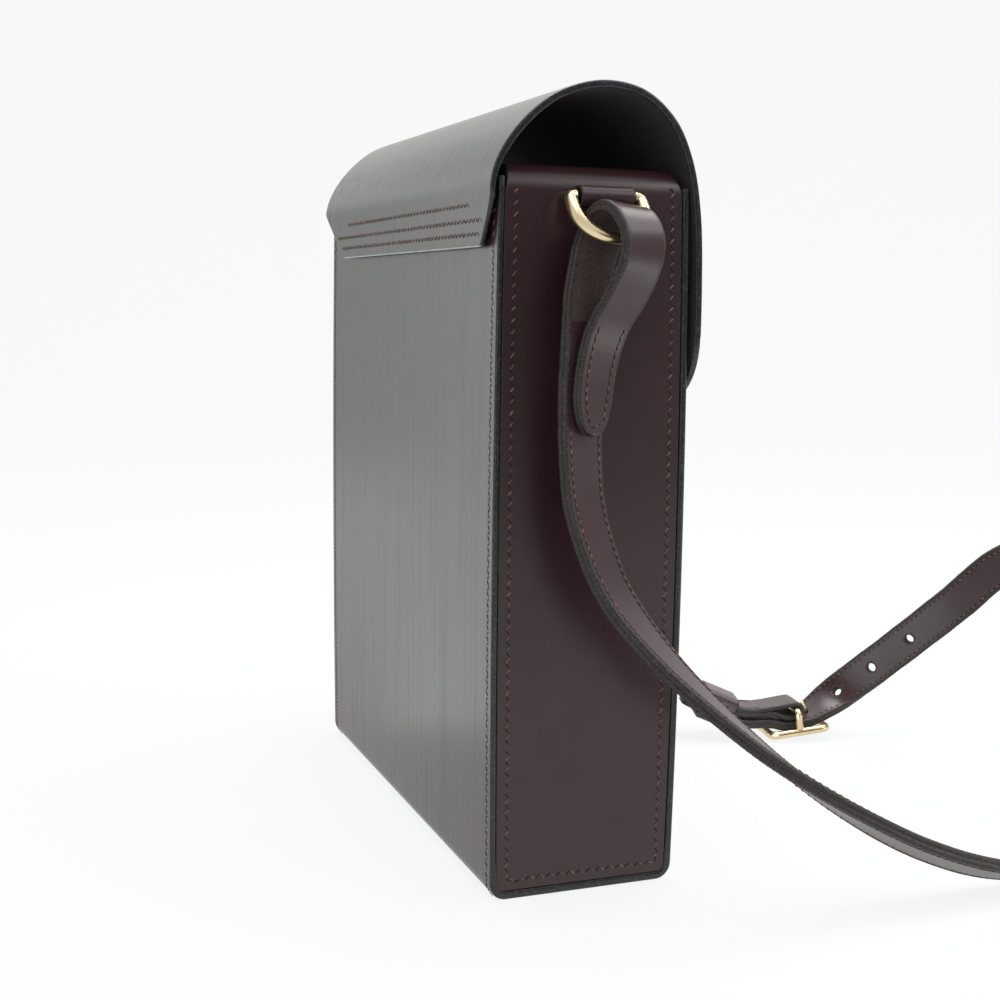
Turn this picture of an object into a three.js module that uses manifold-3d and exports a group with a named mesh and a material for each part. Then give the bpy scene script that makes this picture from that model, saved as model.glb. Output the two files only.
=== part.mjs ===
// Upright leather satchel: a one-piece wrap (back, base and front), two gussets with folded ears,
// an arched flap sewn to the back, D-rings in rolled chapes, and a buckled shoulder strap.
// Millimetres, +Z up. The front faces -Y, the back +Y, and the base stands on z = 0.
import * as THREE from "three";
import { mergeVertices } from "three/addons/utils/BufferGeometryUtils.js";
import Module from "manifold-3d";

const wasm = await Module();
wasm.setup();

// Driving dimensions
const GAP = 0.3;
const body = { width: 234, depth: 76, height: 269, frontDrop: 1.5, leather: 3.2, corner: 6.5 };
const backPanel = { side: 1, lean: 0.8, bow: 0.8 };
const frontPanel = { side: -1, lean: -1.2, bow: 1.5 };
const gusset = { leather: 2.8, inset: 0.4, sideGap: 0.4, foldStart: 264, foldRadius: 10 };
const ear = { depth: 26, narrowing: 3, corner: 12 };
const flap = { width: 237, leather: 2.8, hemCorner: 25 };
const sewnEnd = { near: { reach: 110.5, taper: 14 }, far: { reach: 87.5, taper: 22 } };
const stud = { height: 204, postRadius: 2.2, ballRadius: 4.6, footRadius: 5, foot: 1.5 };
const ring = { y: -0.6, z: 262.5, barRadius: 1.7, wireRadius: 2.2, reach: 13.9, leg: 6.2, tilt: 40 };
const chape = { y: -0.7, length: 21, leather: 1.8, squareness: 0.86 };
const strap = { width: 19, thickness: 4.8, ply: 2.3, chamfer: 0.7, stepsPerRow: 3, layerGap: 1.1 };
const tip = { share: 0.022, blunt: 0.42 };
const tongue = { thickness: 4.2, tipShare: 0.11, blunt: 0.14, sewnShare: 0.42, narrowing: 0.09 };
const hole = { radius: 2.3, sides: 14 };
const buckle = { length: 30, width: 28.4, wire: 2, rise: 10.4, barClear: 1, loopLength: 13, prong: 1.3 };
const keeper = { length: 18, centre: 2, leather: 2, slack: 0.8 };

const COLOURS = { leather: 0x3a2a2a, strap: 0x40302d, brass: 0xc9a86a };

const vec = (x, y, z) => new THREE.Vector3(x, y, z);
const rad = THREE.MathUtils.degToRad;

// Solids for joining and cutting
function toSolid(geometry) {
  const bare = geometry.clone();
  for (const name of Object.keys(bare.attributes)) {
    if (name !== "position") bare.deleteAttribute(name);
  }
  const merged = mergeVertices(bare, 1e-4);
  const vertProperties = merged.attributes.position.array;
  const triVerts = new Uint32Array(merged.index.array);
  return new wasm.Manifold(new wasm.Mesh({ numProp: 3, vertProperties, triVerts }));
}

function toGeometry(solid) {
  const mesh = solid.getMesh();
  const geometry = new THREE.BufferGeometry();
  geometry.setAttribute("position", new THREE.BufferAttribute(mesh.vertProperties, 3));
  geometry.setIndex(new THREE.BufferAttribute(mesh.triVerts, 1));
  geometry.computeVertexNormals();
  return geometry;
}

const join = (...geometries) => toGeometry(geometries.map(toSolid).reduce((sum, next) => sum.add(next)));

const cut = (geometry, ...tools) =>
  toGeometry(tools.map(toSolid).reduce((rest, tool) => rest.subtract(tool), toSolid(geometry)));

// A band of leather: one flat section carried along stations, so that it can bend, twist and taper.
// A station has the band's centre, its out direction, its run direction and its half width.
function band(stations, low, high, chamfer = 0) {
  const c = chamfer;
  const outline = [];
  for (const [side, from, to] of [[1, low, high], [-1, high, low]]) {
    const step = Math.sign(to - from) * c;
    outline.push([side, from + step, 0], [side, to - step, 0]);
    if (c) outline.push([side, to, -side * c], [-side, to, side * c]);
  }
  const shape = new THREE.Shape(outline.map(([side, v, back]) => new THREE.Vector2(side * 1000 + back, v)));
  const steps = stations.length - 1;
  const geometry = new THREE.ExtrudeGeometry(shape, { depth: steps, steps, bevelEnabled: false });
  const place = geometry.getAttribute("position");
  for (let i = 0; i < place.count; i++) {
    const { centre, out, run, half } = stations[Math.round(place.getZ(i))];
    const across = vec(0, 0, 0).crossVectors(out, run);
    const side = Math.sign(place.getX(i));
    const u = side * half + (place.getX(i) - side * 1000);
    const point = centre.clone().addScaledVector(across, u).addScaledVector(out, place.getY(i));
    place.setXYZ(i, point.x, point.y, point.z);
  }
  geometry.deleteAttribute("uv");
  geometry.computeVertexNormals();
  return geometry;
}

// Run and out directions for centres that lie in one plane; turn picks the side that faces out
function planarStations(points, normal, turn, halfAt) {
  return points.map((centre, i) => {
    const before = points[Math.max(i - 1, 0)];
    const after = points[Math.min(i + 1, points.length - 1)];
    const run = vec(0, 0, 0).subVectors(after, before).normalize();
    const out = vec(0, 0, 0).crossVectors(normal, run).multiplyScalar(turn);
    return { centre, run, out, half: halfAt(centre, i) };
  });
}

const spread = (from, to, count) =>
  Array.from({ length: count }, (_, i) => from + ((to - from) * i) / (count - 1));

// Outer face of the back or front panel at a height
function panelY(panel, z) {
  const t = (z - body.corner) / (body.height - body.corner);
  const swell = panel.lean * t + panel.bow * 4 * t * (1 - t);
  return panel.side * (body.depth / 2 + swell);
}

// Body: one sheet goes down the back, under the base and up the front
function bodyWrap() {
  const r = body.corner;
  const flat = body.depth / 2 - r;
  const points = [];
  for (const z of spread(body.height, r, 9)) points.push(vec(0, panelY(backPanel, z), z));
  for (const a of spread(0, 90, 7).slice(1)) {
    points.push(vec(0, flat + r * Math.cos(rad(a)), r - r * Math.sin(rad(a))));
  }
  for (const a of spread(90, 180, 7)) {
    points.push(vec(0, -flat + r * Math.cos(rad(a)), r - r * Math.sin(rad(a))));
  }
  for (const z of spread(r, body.height - body.frontDrop, 9).slice(1)) {
    points.push(vec(0, panelY(frontPanel, z), z));
  }
  const stations = planarStations(points, vec(1, 0, 0), 1, () => body.width / 2);
  return cut(band(stations, -body.leather, 0), studHole(stud.postRadius + GAP));
}

// Gusset: a flat end set inside the wrap, whose top folds over the mouth as an ear
function gussetPanel(side) {
  const face = body.width / 2 - gusset.inset;
  const floor = body.leather + GAP;
  const inner = body.corner - body.leather - GAP;
  const { foldStart, foldRadius } = gusset;
  const centres = [];
  const halves = [];
  const add = (x, z, shrink) => {
    const level = Math.min(z, body.height);
    const back = panelY(backPanel, level) - body.leather - gusset.sideGap - shrink;
    const front = panelY(frontPanel, level) + body.leather + gusset.sideGap + shrink;
    centres.push(vec(side * x, (back + front) / 2, z));
    halves.push((back - front) / 2);
  };
  for (const a of spread(0, 90, 5)) {
    add(face, floor + inner * (1 - Math.cos(rad(a))), inner * (1 - Math.sin(rad(a))));
  }
  for (const z of spread(floor + inner, foldStart, 9).slice(1)) add(face, z, 0);
  for (const a of spread(0, 90, 8).slice(1)) {
    const bend = rad(a);
    const lift = foldRadius * Math.sin(bend);
    add(face - foldRadius * (1 - Math.cos(bend)), foldStart + lift, (ear.narrowing * a) / 90);
  }
  const top = foldStart + foldRadius;
  const earEnd = face - foldRadius - ear.depth;
  add(earEnd + ear.corner, top, ear.narrowing);
  for (const a of spread(0, 90, 6).slice(1)) {
    const bend = rad(a);
    add(earEnd + ear.corner * (1 - Math.sin(bend)), top, ear.narrowing + ear.corner * (1 - Math.cos(bend)));
  }
  const stations = planarStations(centres, vec(0, 1, 0), side, (_, i) => halves[i]);
  return band(stations, -gusset.leather, 0);
}

// Flap: rows of its outer face from the sewn hem on the back, over the arch, to the hem in front
const FLAP_ROWS = [
  { y: 42.3, z: 244 },
  { y: 42.3, z: 256 },
  { y: 42.5, z: 267 },
  { y: 39.4, z: 276.5 },
  { y: 30.6, z: 288.6 },
  { y: 17.5, z: 298.9 },
  { y: 0, z: 304 },
  { y: -17, z: 301.6 },
  { y: -30, z: 291.5 },
  { y: -37.4, z: 277 },
  { y: -41.3, z: 258 },
  { y: -42.8, z: 230 },
  { y: -42.8, z: 187 },
];

// Reach of the flap to one side. Its sewn end is cut back, further on the far side than on the near side.
function flapReach(point, sewn) {
  const full = flap.width / 2;
  const front = point.y < 0;
  const rise = point.z - FLAP_ROWS.at(front ? -1 : 0).z;
  const r = flap.hemCorner;
  if (front && rise < r) return full - r + Math.sqrt(Math.max(r * r - (r - rise) ** 2, 0));
  if (!front && rise < sewn.taper) return sewn.reach + ((full - sewn.reach) * rise) / sewn.taper;
  return full;
}

function flapSheet() {
  const curve = new THREE.CatmullRomCurve3(FLAP_ROWS.map(({ y, z }) => vec(0, y, z)), false, "centripetal");
  const points = curve.getSpacedPoints(56);
  const hem = FLAP_ROWS.at(-1);
  const corner = spread(0, 1, 6).map((t) => vec(0, hem.y, hem.z + flap.hemCorner * (1 - t) ** 2 + 0.02));
  const above = points.filter((p) => p.y > 0 || p.z > hem.z + flap.hemCorner);
  const stations = planarStations([...above, ...corner], vec(1, 0, 0), -1, () => 0);
  for (const station of stations) {
    const near = flapReach(station.centre, sewnEnd.near);
    const far = flapReach(station.centre, sewnEnd.far);
    station.half = (near + far) / 2;
    station.centre.x = (far - near) / 2;
  }
  return cut(band(stations, -flap.leather, 0), studHole(stud.postRadius + 2 * GAP));
}

// Closing stud: foot inside the front panel, post through panel and flap, ball outside.
// Heights along it count from the panel's outer face.
const studBase = panelY(frontPanel, stud.height);
const studNeck = studBase - FLAP_ROWS.at(-1).y + GAP;
const studBall = studNeck + Math.sqrt(stud.ballRadius ** 2 - stud.postRadius ** 2);

const throughFront = (geometry) => geometry.rotateX(Math.PI).translate(0, studBase, stud.height);

const studHole = (radius) => throughFront(new THREE.CylinderGeometry(radius, radius, 40, 20));

function closingStud() {
  const { postRadius, ballRadius, footRadius, foot } = stud;
  const inside = -body.leather - GAP;
  const profile = [
    [0, inside - foot],
    [footRadius, inside - foot],
    [footRadius, inside],
    [postRadius, inside],
    [postRadius, studNeck],
  ];
  for (const a of spread(Math.asin(postRadius / ballRadius), Math.PI, 9).slice(1, -1)) {
    profile.push([ballRadius * Math.sin(a), studBall - ballRadius * Math.cos(a)]);
  }
  profile.push([0, studBall + ballRadius]);
  return throughFront(new THREE.LatheGeometry(profile.map(([r, h]) => new THREE.Vector2(r, h)), 20));
}

// D-ring and its chape hang on the gusset's face
const gussetFace = body.width / 2 - gusset.inset;
const barX = gussetFace + GAP + chape.leather + GAP + ring.barRadius;

function wire(curve, radius, steps, sides = 10) {
  const round = new THREE.Shape(
    spread(0, 2 * Math.PI, sides + 1)
      .slice(0, sides)
      .map((a) => new THREE.Vector2(radius * Math.cos(a), radius * Math.sin(a))),
  );
  const geometry = new THREE.ExtrudeGeometry(round, { steps, bevelEnabled: false, extrudePath: curve });
  geometry.deleteAttribute("uv");
  return geometry;
}

function dRing(side) {
  const { reach, leg, wireRadius, barRadius } = ring;
  const bow = new THREE.CatmullRomCurve3(
    [
      vec(0, reach, 0),
      vec(0, reach, -leg),
      ...spread(0, 180, 13).map((a) => vec(0, reach * Math.cos(rad(a)), -leg - reach * Math.sin(rad(a)))),
      vec(0, -reach, -leg),
      vec(0, -reach, 0),
    ].filter((p, i, all) => i === 0 || p.distanceTo(all[i - 1]) > 0.01),
  );
  const bar = wire(new THREE.LineCurve3(vec(0, -reach, 0), vec(0, reach, 0)), barRadius, 1, 12);
  const ball = new THREE.SphereGeometry(wireRadius, 12, 8);
  const knees = [reach, -reach].map((y) => ball.clone().translate(0, y, 0));
  const whole = join(wire(bow, wireRadius, 34), bar, ...knees);
  whole.rotateY(rad(side * -ring.tilt));
  return whole.translate(side * barX, ring.y, ring.z);
}

function chapeRoll(side) {
  const inside = ring.barRadius + GAP;
  const outside = inside + chape.leather;
  const profile = new THREE.Shape();
  profile.absarc(0, 0, outside, Math.PI / 2, (3 * Math.PI) / 2, false);
  const square = outside * chape.squareness;
  profile.lineTo(square, -outside);
  profile.lineTo(outside, -square);
  profile.lineTo(outside, square);
  profile.lineTo(square, outside);
  profile.holes.push(new THREE.Path().absarc(0, 0, inside, 0, 2 * Math.PI, true));
  const options = { depth: chape.length, bevelEnabled: false, curveSegments: 9 };
  const geometry = new THREE.ExtrudeGeometry(profile, options);
  geometry.translate(0, 0, -chape.length / 2).rotateX(Math.PI / 2);
  if (side > 0) geometry.rotateZ(Math.PI);
  return geometry.translate(side * barX, chape.y, ring.z);
}

// A local frame on the strap: along its run, across its width, up from its face
function strapFrame(centre, run, lean) {
  const along = run.clone().normalize();
  const level = vec(0, 0, 0).crossVectors(along, vec(0, 0, 1)).normalize();
  const across = level.clone().applyAxisAngle(along, rad(lean));
  const up = vec(0, 0, 0).crossVectors(across, along);
  const at = (a, w, u) =>
    centre.clone().addScaledVector(along, a).addScaledVector(across, w).addScaledVector(up, u);
  const basis = new THREE.Matrix4().makeBasis(along, across.clone().negate(), up).setPosition(centre);
  const place = (geometry) => geometry.applyMatrix4(basis);
  const tilted = (degrees) => up.clone().applyAxisAngle(along, rad(-degrees));
  return { at, up, tilted, place };
}

const atBuckle = strapFrame(vec(40, -190.6, 4.6), vec(0.201, 0.971, -0.126), 1.5);
const atKeeper = strapFrame(vec(49.8, -151.2, 16.2), vec(0.33, 0.88, 0.38), 2);

const routeRow = (point, normal) => [point.x, point.y, point.z, normal.x, normal.y, normal.z];

// Strap routes: columns x, y, z of the centre, then the direction that the outer face looks
const HANG_ROWS = [
  [-126.4, 9.0, 220, -0.94, -0.34, 0],
  [-127.0, 9.8, 204, -0.94, -0.34, 0],
  [-127.7, 10.4, 189, -0.94, -0.34, 0.02],
  [-128.6, 10.3, 172, -0.93, -0.36, 0.06],
  [-130.5, 9.2, 153, -0.9, -0.4, 0.16],
];
const LONG_ROWS = [
  [-134, 5.1, 135, -0.84, -0.45, 0.3],
  [-138.5, -1.6, 118, -0.73, -0.48, 0.48],
  [-144.5, -14.2, 100, -0.56, -0.5, 0.66],
  [-151, -29.7, 83, -0.36, -0.46, 0.8],
  [-157.5, -50.5, 64, -0.16, -0.4, 0.9],
  [-162, -71, 48.5, 0.06, -0.3, 0.94],
  [-165.5, -90, 36, 0.22, -0.22, 0.93],
  [-168.5, -110.5, 24.5, 0.33, -0.14, 0.92],
  [-170.5, -131.5, 15.5, 0.4, -0.08, 0.9],
  [-171.5, -152, 9.5, 0.45, 0, 0.88],
  [-172, -174, 7, 0.5, 0.06, 0.86],
  [-171, -200, 8.5, 0.56, 0.16, 0.8],
  [-167, -230, 17, 0.64, 0.32, 0.68],
  [-157, -262, 36, 0.7, 0.5, 0.5],
  [-140, -286, 62, 0.66, 0.68, 0.24],
  [-116, -300, 90, 0.5, 0.84, -0.1],
  [-90, -301, 110.5, 0.2, 0.9, -0.36],
  [-67, -293, 117.5, -0.2, 0.86, -0.4],
  [-46, -281, 111, -0.52, 0.72, -0.26],
  [-24.7, -265.7, 97.8, -0.7, 0.64, 0.05],
  [-7.8, -253.1, 76.6, -0.74, 0.6, 0.12],
  [11, -240.9, 55.1, -0.75, 0.58, 0.16],
  [24.3, -227.8, 37.5, -0.74, 0.54, 0.26],
  [34.7, -214.6, 22.4, -0.56, 0.44, 0.6],
];
const SHORT_ROWS = [
  [134, 5.1, 135, 0.84, -0.45, 0.3],
  [138.5, -4, 117, 0.72, -0.52, 0.46],
  [141, -19, 100, 0.52, -0.6, 0.62],
  [138.5, -40, 83, 0.28, -0.62, 0.74],
  [129, -63, 67, 0.04, -0.58, 0.82],
  [112, -83, 54, -0.14, -0.46, 0.88],
  [91, -99, 43.5, -0.22, -0.4, 0.9],
  [72, -114, 35, -0.2, -0.36, 0.92],
];

const mirrorRow = ([x, y, z, nx, ny, nz]) => [-x, y, z, -nx, ny, nz];

// Offsets of the two layers from the middle of the stack where they lie on each other
const layer = (strap.thickness + strap.layerGap) / 2;
const overBar = buckle.wire + buckle.barClear + strap.thickness / 2;
const underBridge = buckle.rise - buckle.wire - 3 * GAP - strap.ply - strap.thickness / 2;

const shortStart = overBar + 2 * layer + 1;

const bar = buckle.length / 2;

// The long strap lies over the first bar, under the bridge and over the second bar: along, up, tilt
const BUCKLE_ROWS = [
  [-bar, overBar + 2.6, 20],
  [-8, underBridge + 1.6, 8],
  [0, underBridge, 0],
  [7, underBridge + 0.3, 0],
  [bar - 0.5, overBar + 0.2, 0],
];

const longRoute = [
  ...HANG_ROWS,
  ...LONG_ROWS,
  ...BUCKLE_ROWS.map(([a, u, tilt]) => routeRow(atBuckle.at(a, 0, u), atBuckle.tilted(tilt))),
  ...[-11, 0, 11, 20].map((a) => routeRow(atKeeper.at(a, 0, -layer), atKeeper.up)),
];

const shortRoute = [
  ...HANG_ROWS.map(mirrorRow),
  ...SHORT_ROWS,
  ...[26, 13, 0, -10].map((a) => routeRow(atKeeper.at(a, 0, layer), atKeeper.up)),
  routeRow(atBuckle.at(bar + 3, 0, shortStart), atBuckle.up),
];

// Stations along a route, with the out direction kept square to the run
function routeStations(rows, halfAt) {
  const through = (points) => new THREE.CatmullRomCurve3(points, false, "catmullrom", 0.5);
  const centres = through(rows.map(([x, y, z]) => vec(x, y, z)));
  const normals = through(rows.map((row) => vec(...row.slice(3))));
  return spread(0, 1, strap.stepsPerRow * (rows.length - 1) + 1).map((t) => {
    const run = centres.getTangent(t);
    const out = normals.getPoint(t);
    out.addScaledVector(run, -out.dot(run)).normalize();
    return { centre: centres.getPoint(t), run, out, half: halfAt(t) };
  });
}

// The long strap's tip narrows to a rounded point
function longHalf(t) {
  const left = Math.min((1 - t) / tip.share, 1);
  return (strap.width / 2) * (tip.blunt + (1 - tip.blunt) * Math.sqrt(1 - (1 - left) ** 2));
}

// Punched holes, each at a row of the long strap's route near the buckle
const HOLE_ROWS = [26, 27, 28, 30];

function punch(row) {
  const { centre, out } = longStations[row * strap.stepsPerRow];
  const tool = new THREE.CylinderGeometry(hole.radius, hole.radius, 3 * strap.thickness, hole.sides);
  tool.applyQuaternion(new THREE.Quaternion().setFromUnitVectors(vec(0, 1, 0), out));
  return tool.translate(centre.x, centre.y, centre.z);
}

function strapBand(stations) {
  return band(stations, -strap.thickness / 2, strap.thickness / 2, strap.chamfer);
}

const longStations = routeStations(longRoute, longHalf);
const shortStations = routeStations(shortRoute, () => strap.width / 2);

// Turned end: the strap goes on up behind the ring's bow, over it, and down as a tongue sewn on itself
const TURN_ROWS = [
  [-126.3, 8.9, 221, 0.94, 0.34, 0],
  [-126.1, 8.6, 226, 0.95, 0.32, 0],
  [-125.2, 6.9, 234, 0.95, 0.3, 0.02],
  [-123.8, 3.9, 244, 0.97, 0.2, 0.1],
  [-124.4, 0.1, 252.8, 0.86, 0.04, 0.5],
  [-129.6, -2.3, 257.6, 0.08, -0.12, 0.98],
  [-135.6, -4.75, 255.8, -0.6, -0.24, 0.76],
  [-139.9, -6.8, 248.3, -0.92, -0.32, 0.22],
  [-140.2, -5.9, 238, -0.94, -0.34, -0.05],
  [-136.3, -2.2, 226.5, -0.92, -0.3, -0.24],
  [-132.3, 1, 218.3, -0.92, -0.32, -0.18],
  [-130.9, 4, 209.5, -0.94, -0.34, -0.02],
  [-131.2, 6.4, 198.5, -0.94, -0.34, 0],
  [-132, 7.6, 188, -0.94, -0.34, 0.03],
  [-132.8, 7.9, 177, -0.93, -0.36, 0.06],
];

function turnHalf(t) {
  const left = Math.min((1 - t) / tongue.tipShare, 1);
  const narrowing = 1 - tongue.narrowing * THREE.MathUtils.smoothstep(t, 1 - tongue.sewnShare, 1);
  return (strap.width / 2) * narrowing * (tongue.blunt + (1 - tongue.blunt) * Math.sqrt(1 - (1 - left) ** 2));
}

function turnedEnd(side) {
  const rows = side < 0 ? TURN_ROWS : TURN_ROWS.map(mirrorRow);
  const stations = routeStations(rows, turnHalf);
  return band(stations, -tongue.thickness / 2, tongue.thickness / 2, strap.chamfer);
}

// Buckle: a flat frame with a raised middle bar, the short strap's loop round it, and a prong
function buckleFrame() {
  const { length, width, wire: r, rise } = buckle;
  const a = length / 2;
  const w = width / 2 - r;
  const line = (from, to) => wire(new THREE.LineCurve3(from, to), r, 1);
  const corners = [vec(a, w, 0), vec(-a, w, 0), vec(-a, -w, 0), vec(a, -w, 0)];
  const sides = corners.map((corner, i) => line(corner, corners[(i + 1) % 4]));
  const ends = [vec(0, w, rise), vec(0, -w, rise)];
  const bridge = ends.map((end) => line(vec(0, end.y, 0), end));
  bridge.push(line(...ends));
  const balls = [...corners, ...ends].map((p) => new THREE.SphereGeometry(r, 12, 8).translate(p.x, p.y, p.z));
  return atBuckle.place(join(...sides, ...bridge, ...balls));
}

function buckleLoop() {
  const round = buckle.wire + GAP + strap.ply / 2;
  const joinAt = buckle.loopLength;
  const half = strap.ply / 2 + GAP / 2;
  const points = [
    [joinAt, shortStart + half],
    [joinAt * 0.55, (shortStart + half + buckle.rise + round) / 2],
    ...spread(90, 270, 9).map((a) => [round * Math.cos(rad(a)), buckle.rise + round * Math.sin(rad(a))]),
    [joinAt * 0.45, buckle.rise - round * 0.86],
    [joinAt, shortStart - half],
  ];
  const centres = points.map(([a, u]) => vec(a, 0, u));
  const stations = planarStations(centres, vec(0, 1, 0), 1, () => strap.width / 2);
  return atBuckle.place(band(stations, -strap.ply / 2, strap.ply / 2));
}

// Prong from beside the loop down through the strap's hole: along from its start, up from the bridge
const PRONG_ROWS = [
  [0, 1.5],
  [-1, -0.5],
  [-1.6, -3],
  [-2.1, -8.4],
];

function bucklePronged() {
  const start = buckle.wire + GAP + strap.ply + GAP + buckle.prong;
  const curve = new THREE.CatmullRomCurve3(PRONG_ROWS.map(([a, u]) => vec(a - start, 0, buckle.rise + u)));
  return atBuckle.place(wire(curve, buckle.prong, 8, 8));
}

function keeperBand() {
  const w = strap.width / 2 + keeper.slack;
  const h = layer + strap.thickness / 2 + keeper.slack;
  const t = keeper.leather;
  const rounded = (PathClass, x, y, r) => {
    const path = new PathClass();
    path.moveTo(x - r, -y);
    path.absarc(x - r, -y + r, r, -Math.PI / 2, 0, false);
    path.absarc(x - r, y - r, r, 0, Math.PI / 2, false);
    path.absarc(-x + r, y - r, r, Math.PI / 2, Math.PI, false);
    path.absarc(-x + r, -y + r, r, Math.PI, 1.5 * Math.PI, false);
    return path;
  };
  const outer = rounded(THREE.Shape, w + t, h + t, t);
  outer.holes.push(rounded(THREE.Path, w, h, 0.4));
  const options = { depth: keeper.length, bevelEnabled: false, curveSegments: 4 };
  const geometry = new THREE.ExtrudeGeometry(outer, options);
  geometry.translate(0, 0, keeper.centre - keeper.length / 2);
  geometry.applyMatrix4(new THREE.Matrix4().makeBasis(vec(0, 1, 0), vec(0, 0, 1), vec(1, 0, 0)));
  return atKeeper.place(geometry);
}

// Assembly: the origin lies under the middle of the bag's own box
const satchel = new THREE.Group();
satchel.name = "satchel";
const foremost = studBase - studBall - stud.ballRadius;
satchel.position.y = -(Math.max(...FLAP_ROWS.map(({ y }) => y)) + foremost) / 2;

function piece(name, geometry, colour, metal = 0) {
  const material = new THREE.MeshStandardMaterial({
    color: colour,
    roughness: metal ? 0.35 : 0.5,
    metalness: metal,
  });
  const mesh = new THREE.Mesh(geometry, material);
  mesh.name = name;
  satchel.add(mesh);
}

piece("body_wrap", bodyWrap(), COLOURS.leather);
piece("flap", flapSheet(), COLOURS.leather);
piece("closing_stud", closingStud(), COLOURS.brass, 1);
for (const [side, word] of [[-1, "near"], [1, "far"]]) {
  piece(`gusset_${word}`, gussetPanel(side), COLOURS.leather);
  piece(`chape_${word}`, chapeRoll(side), COLOURS.leather);
  piece(`d_ring_${word}`, dRing(side), COLOURS.brass, 1);
}
piece("strap_long", cut(strapBand(longStations), ...HOLE_ROWS.map(punch)), COLOURS.strap);
piece("strap_long_turn", turnedEnd(-1), COLOURS.strap);
piece("strap_short", strapBand(shortStations), COLOURS.strap);
piece("strap_short_turn", turnedEnd(1), COLOURS.strap);
piece("buckle_frame", buckleFrame(), COLOURS.brass, 1);
piece("buckle_prong", bucklePronged(), COLOURS.brass, 1);
piece("buckle_loop", buckleLoop(), COLOURS.strap);
piece("keeper", keeperBand(), COLOURS.strap);

export default satchel;
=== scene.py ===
import math

import bmesh
import bpy
import numpy as np
from bpy.props import FloatProperty, FloatVectorProperty, PointerProperty
from mathutils import Matrix, Vector


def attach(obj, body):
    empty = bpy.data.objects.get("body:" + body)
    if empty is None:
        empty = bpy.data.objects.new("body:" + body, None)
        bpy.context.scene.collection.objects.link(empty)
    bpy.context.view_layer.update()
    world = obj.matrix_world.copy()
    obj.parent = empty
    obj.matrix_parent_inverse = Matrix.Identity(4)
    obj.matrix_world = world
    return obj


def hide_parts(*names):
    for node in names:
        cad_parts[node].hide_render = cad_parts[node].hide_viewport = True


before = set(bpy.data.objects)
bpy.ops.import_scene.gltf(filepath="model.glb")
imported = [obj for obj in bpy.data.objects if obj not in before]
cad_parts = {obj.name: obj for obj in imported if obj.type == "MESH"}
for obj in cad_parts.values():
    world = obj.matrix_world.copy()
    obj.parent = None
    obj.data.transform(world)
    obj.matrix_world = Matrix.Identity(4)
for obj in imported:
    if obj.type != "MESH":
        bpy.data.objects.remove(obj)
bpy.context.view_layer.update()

bl_info = {
    "name": "Satchel",
    "version": (1, 0, 0),
    "blender": (4, 5, 0),
    "location": "View3D > Sidebar > Satchel",
    "description": "Dresses the satchel in stitched bridle leather and brass",
    "category": "Object",
}

MM = 0.001
BODY = "root"
# The tables below count from the middle of the bag's depth; the frame's origin lies this far in front of it
SHIFT = np.array([0.0, 4.62, 0.0])

# Bag, in millimetres
GAP = 0.3
BAG = {"width": 234.0, "depth": 76.0, "height": 269.0, "front_drop": 1.5, "leather": 3.2, "corner": 6.5}
# Thickness of the wrap where its edge shows: skived at the back and front, full at the base.
# The skiving counts its height in lengths of thin_over, and begins after thin_from of them
WRAP = {"back": 2.4, "base": 3.2, "front": 2.7, "thin_over": 12.0, "thin_from": 0.3}
BACK = {"side": 1, "lean": 0.8, "bow": 0.8}
FRONT = {"side": -1, "lean": -1.2, "bow": 1.5}
GUSSET = {
    "leather": 2.8, "inset": 0.4, "side_gap": 0.06, "front_gap": 0.24,
    "fold_start": 264.0, "fold_radius": 10.0, "row_top": 261.0,
}
EAR = {"depth": 26.0, "narrowing": 3.0, "corner": 12.0}
FLAP = {
    "width": 237.0, "leather": 2.8, "skived": 2.0, "thin_over": 26.0, "thin_from": 0.5,
    "hem_corner": 25.0, "hem_clear": 0.5, "sewn_corner": 2.5,
}
# Sewn end of the flap: reach to each side at its hem, and the height in which the flap gets its full width
SEWN_END = {-1: {"reach": 107.5, "taper": 18.0}, 1: {"reach": 88.0, "taper": 22.0}}
# Rows that sew the flap on: height, and reach to the near and far side
SEWN_ROWS = ((259.4, 94.0, 72.5), (253.6, 107.5, 91.5), (248.7, 105.5, 84.0))
STUD = {
    "height": 204.0, "post": 2.2, "ball": 4.6, "foot_radius": 5.0, "foot": 1.5,
    "chamfer": 0.4, "rim": 0.3, "pole": 0.02,
}
RING = {
    "y": -0.6, "z": 262.5, "bar": 1.7, "wire": 2.2, "knee": 2.5, "reach": 13.9, "leg": 6.2, "tilt": 40.0,
    "corner": 2.6, "bend": 2.4, "leg_start": 3.2,
}
CHAPE = {"y": -0.7, "length": 21.0, "leather": 1.8, "stand": 0.35}
STRAP = {
    "width": 19.0, "thickness": 4.8, "ply": 2.3, "layer_gap": 1.1, "tip": 11.0, "blunt": 0.42,
    "skive": 0.42, "skive_side": 0.2, "skive_length": 9.0,
}
# Turned end: thickness, shares of its length and width, the height where its seam begins and one near its top
TONGUE = {
    "thickness": 4.2, "tip": 0.11, "blunt": 0.14, "sewn": 0.42, "narrowing": 0.09,
    "sewn_from": 216.0, "over": 257.0,
}
BUCKLE = {
    "length": 30.0, "width": 28.4, "wire": 2.0, "rise": 10.4, "bar_clear": 1.0, "corner": 4.0,
    "bridge_corner": 2.6, "bridge_wire": 1.96, "prong": 1.3, "prong_tip": 0.8,
}
# Prong from the loop on the bar: distance along the buckle, and height from the bar
PRONG_BEND = ((0, 1.5), (-1, -0.5), (-1.6, -3), (-2.1, -8.4))
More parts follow.
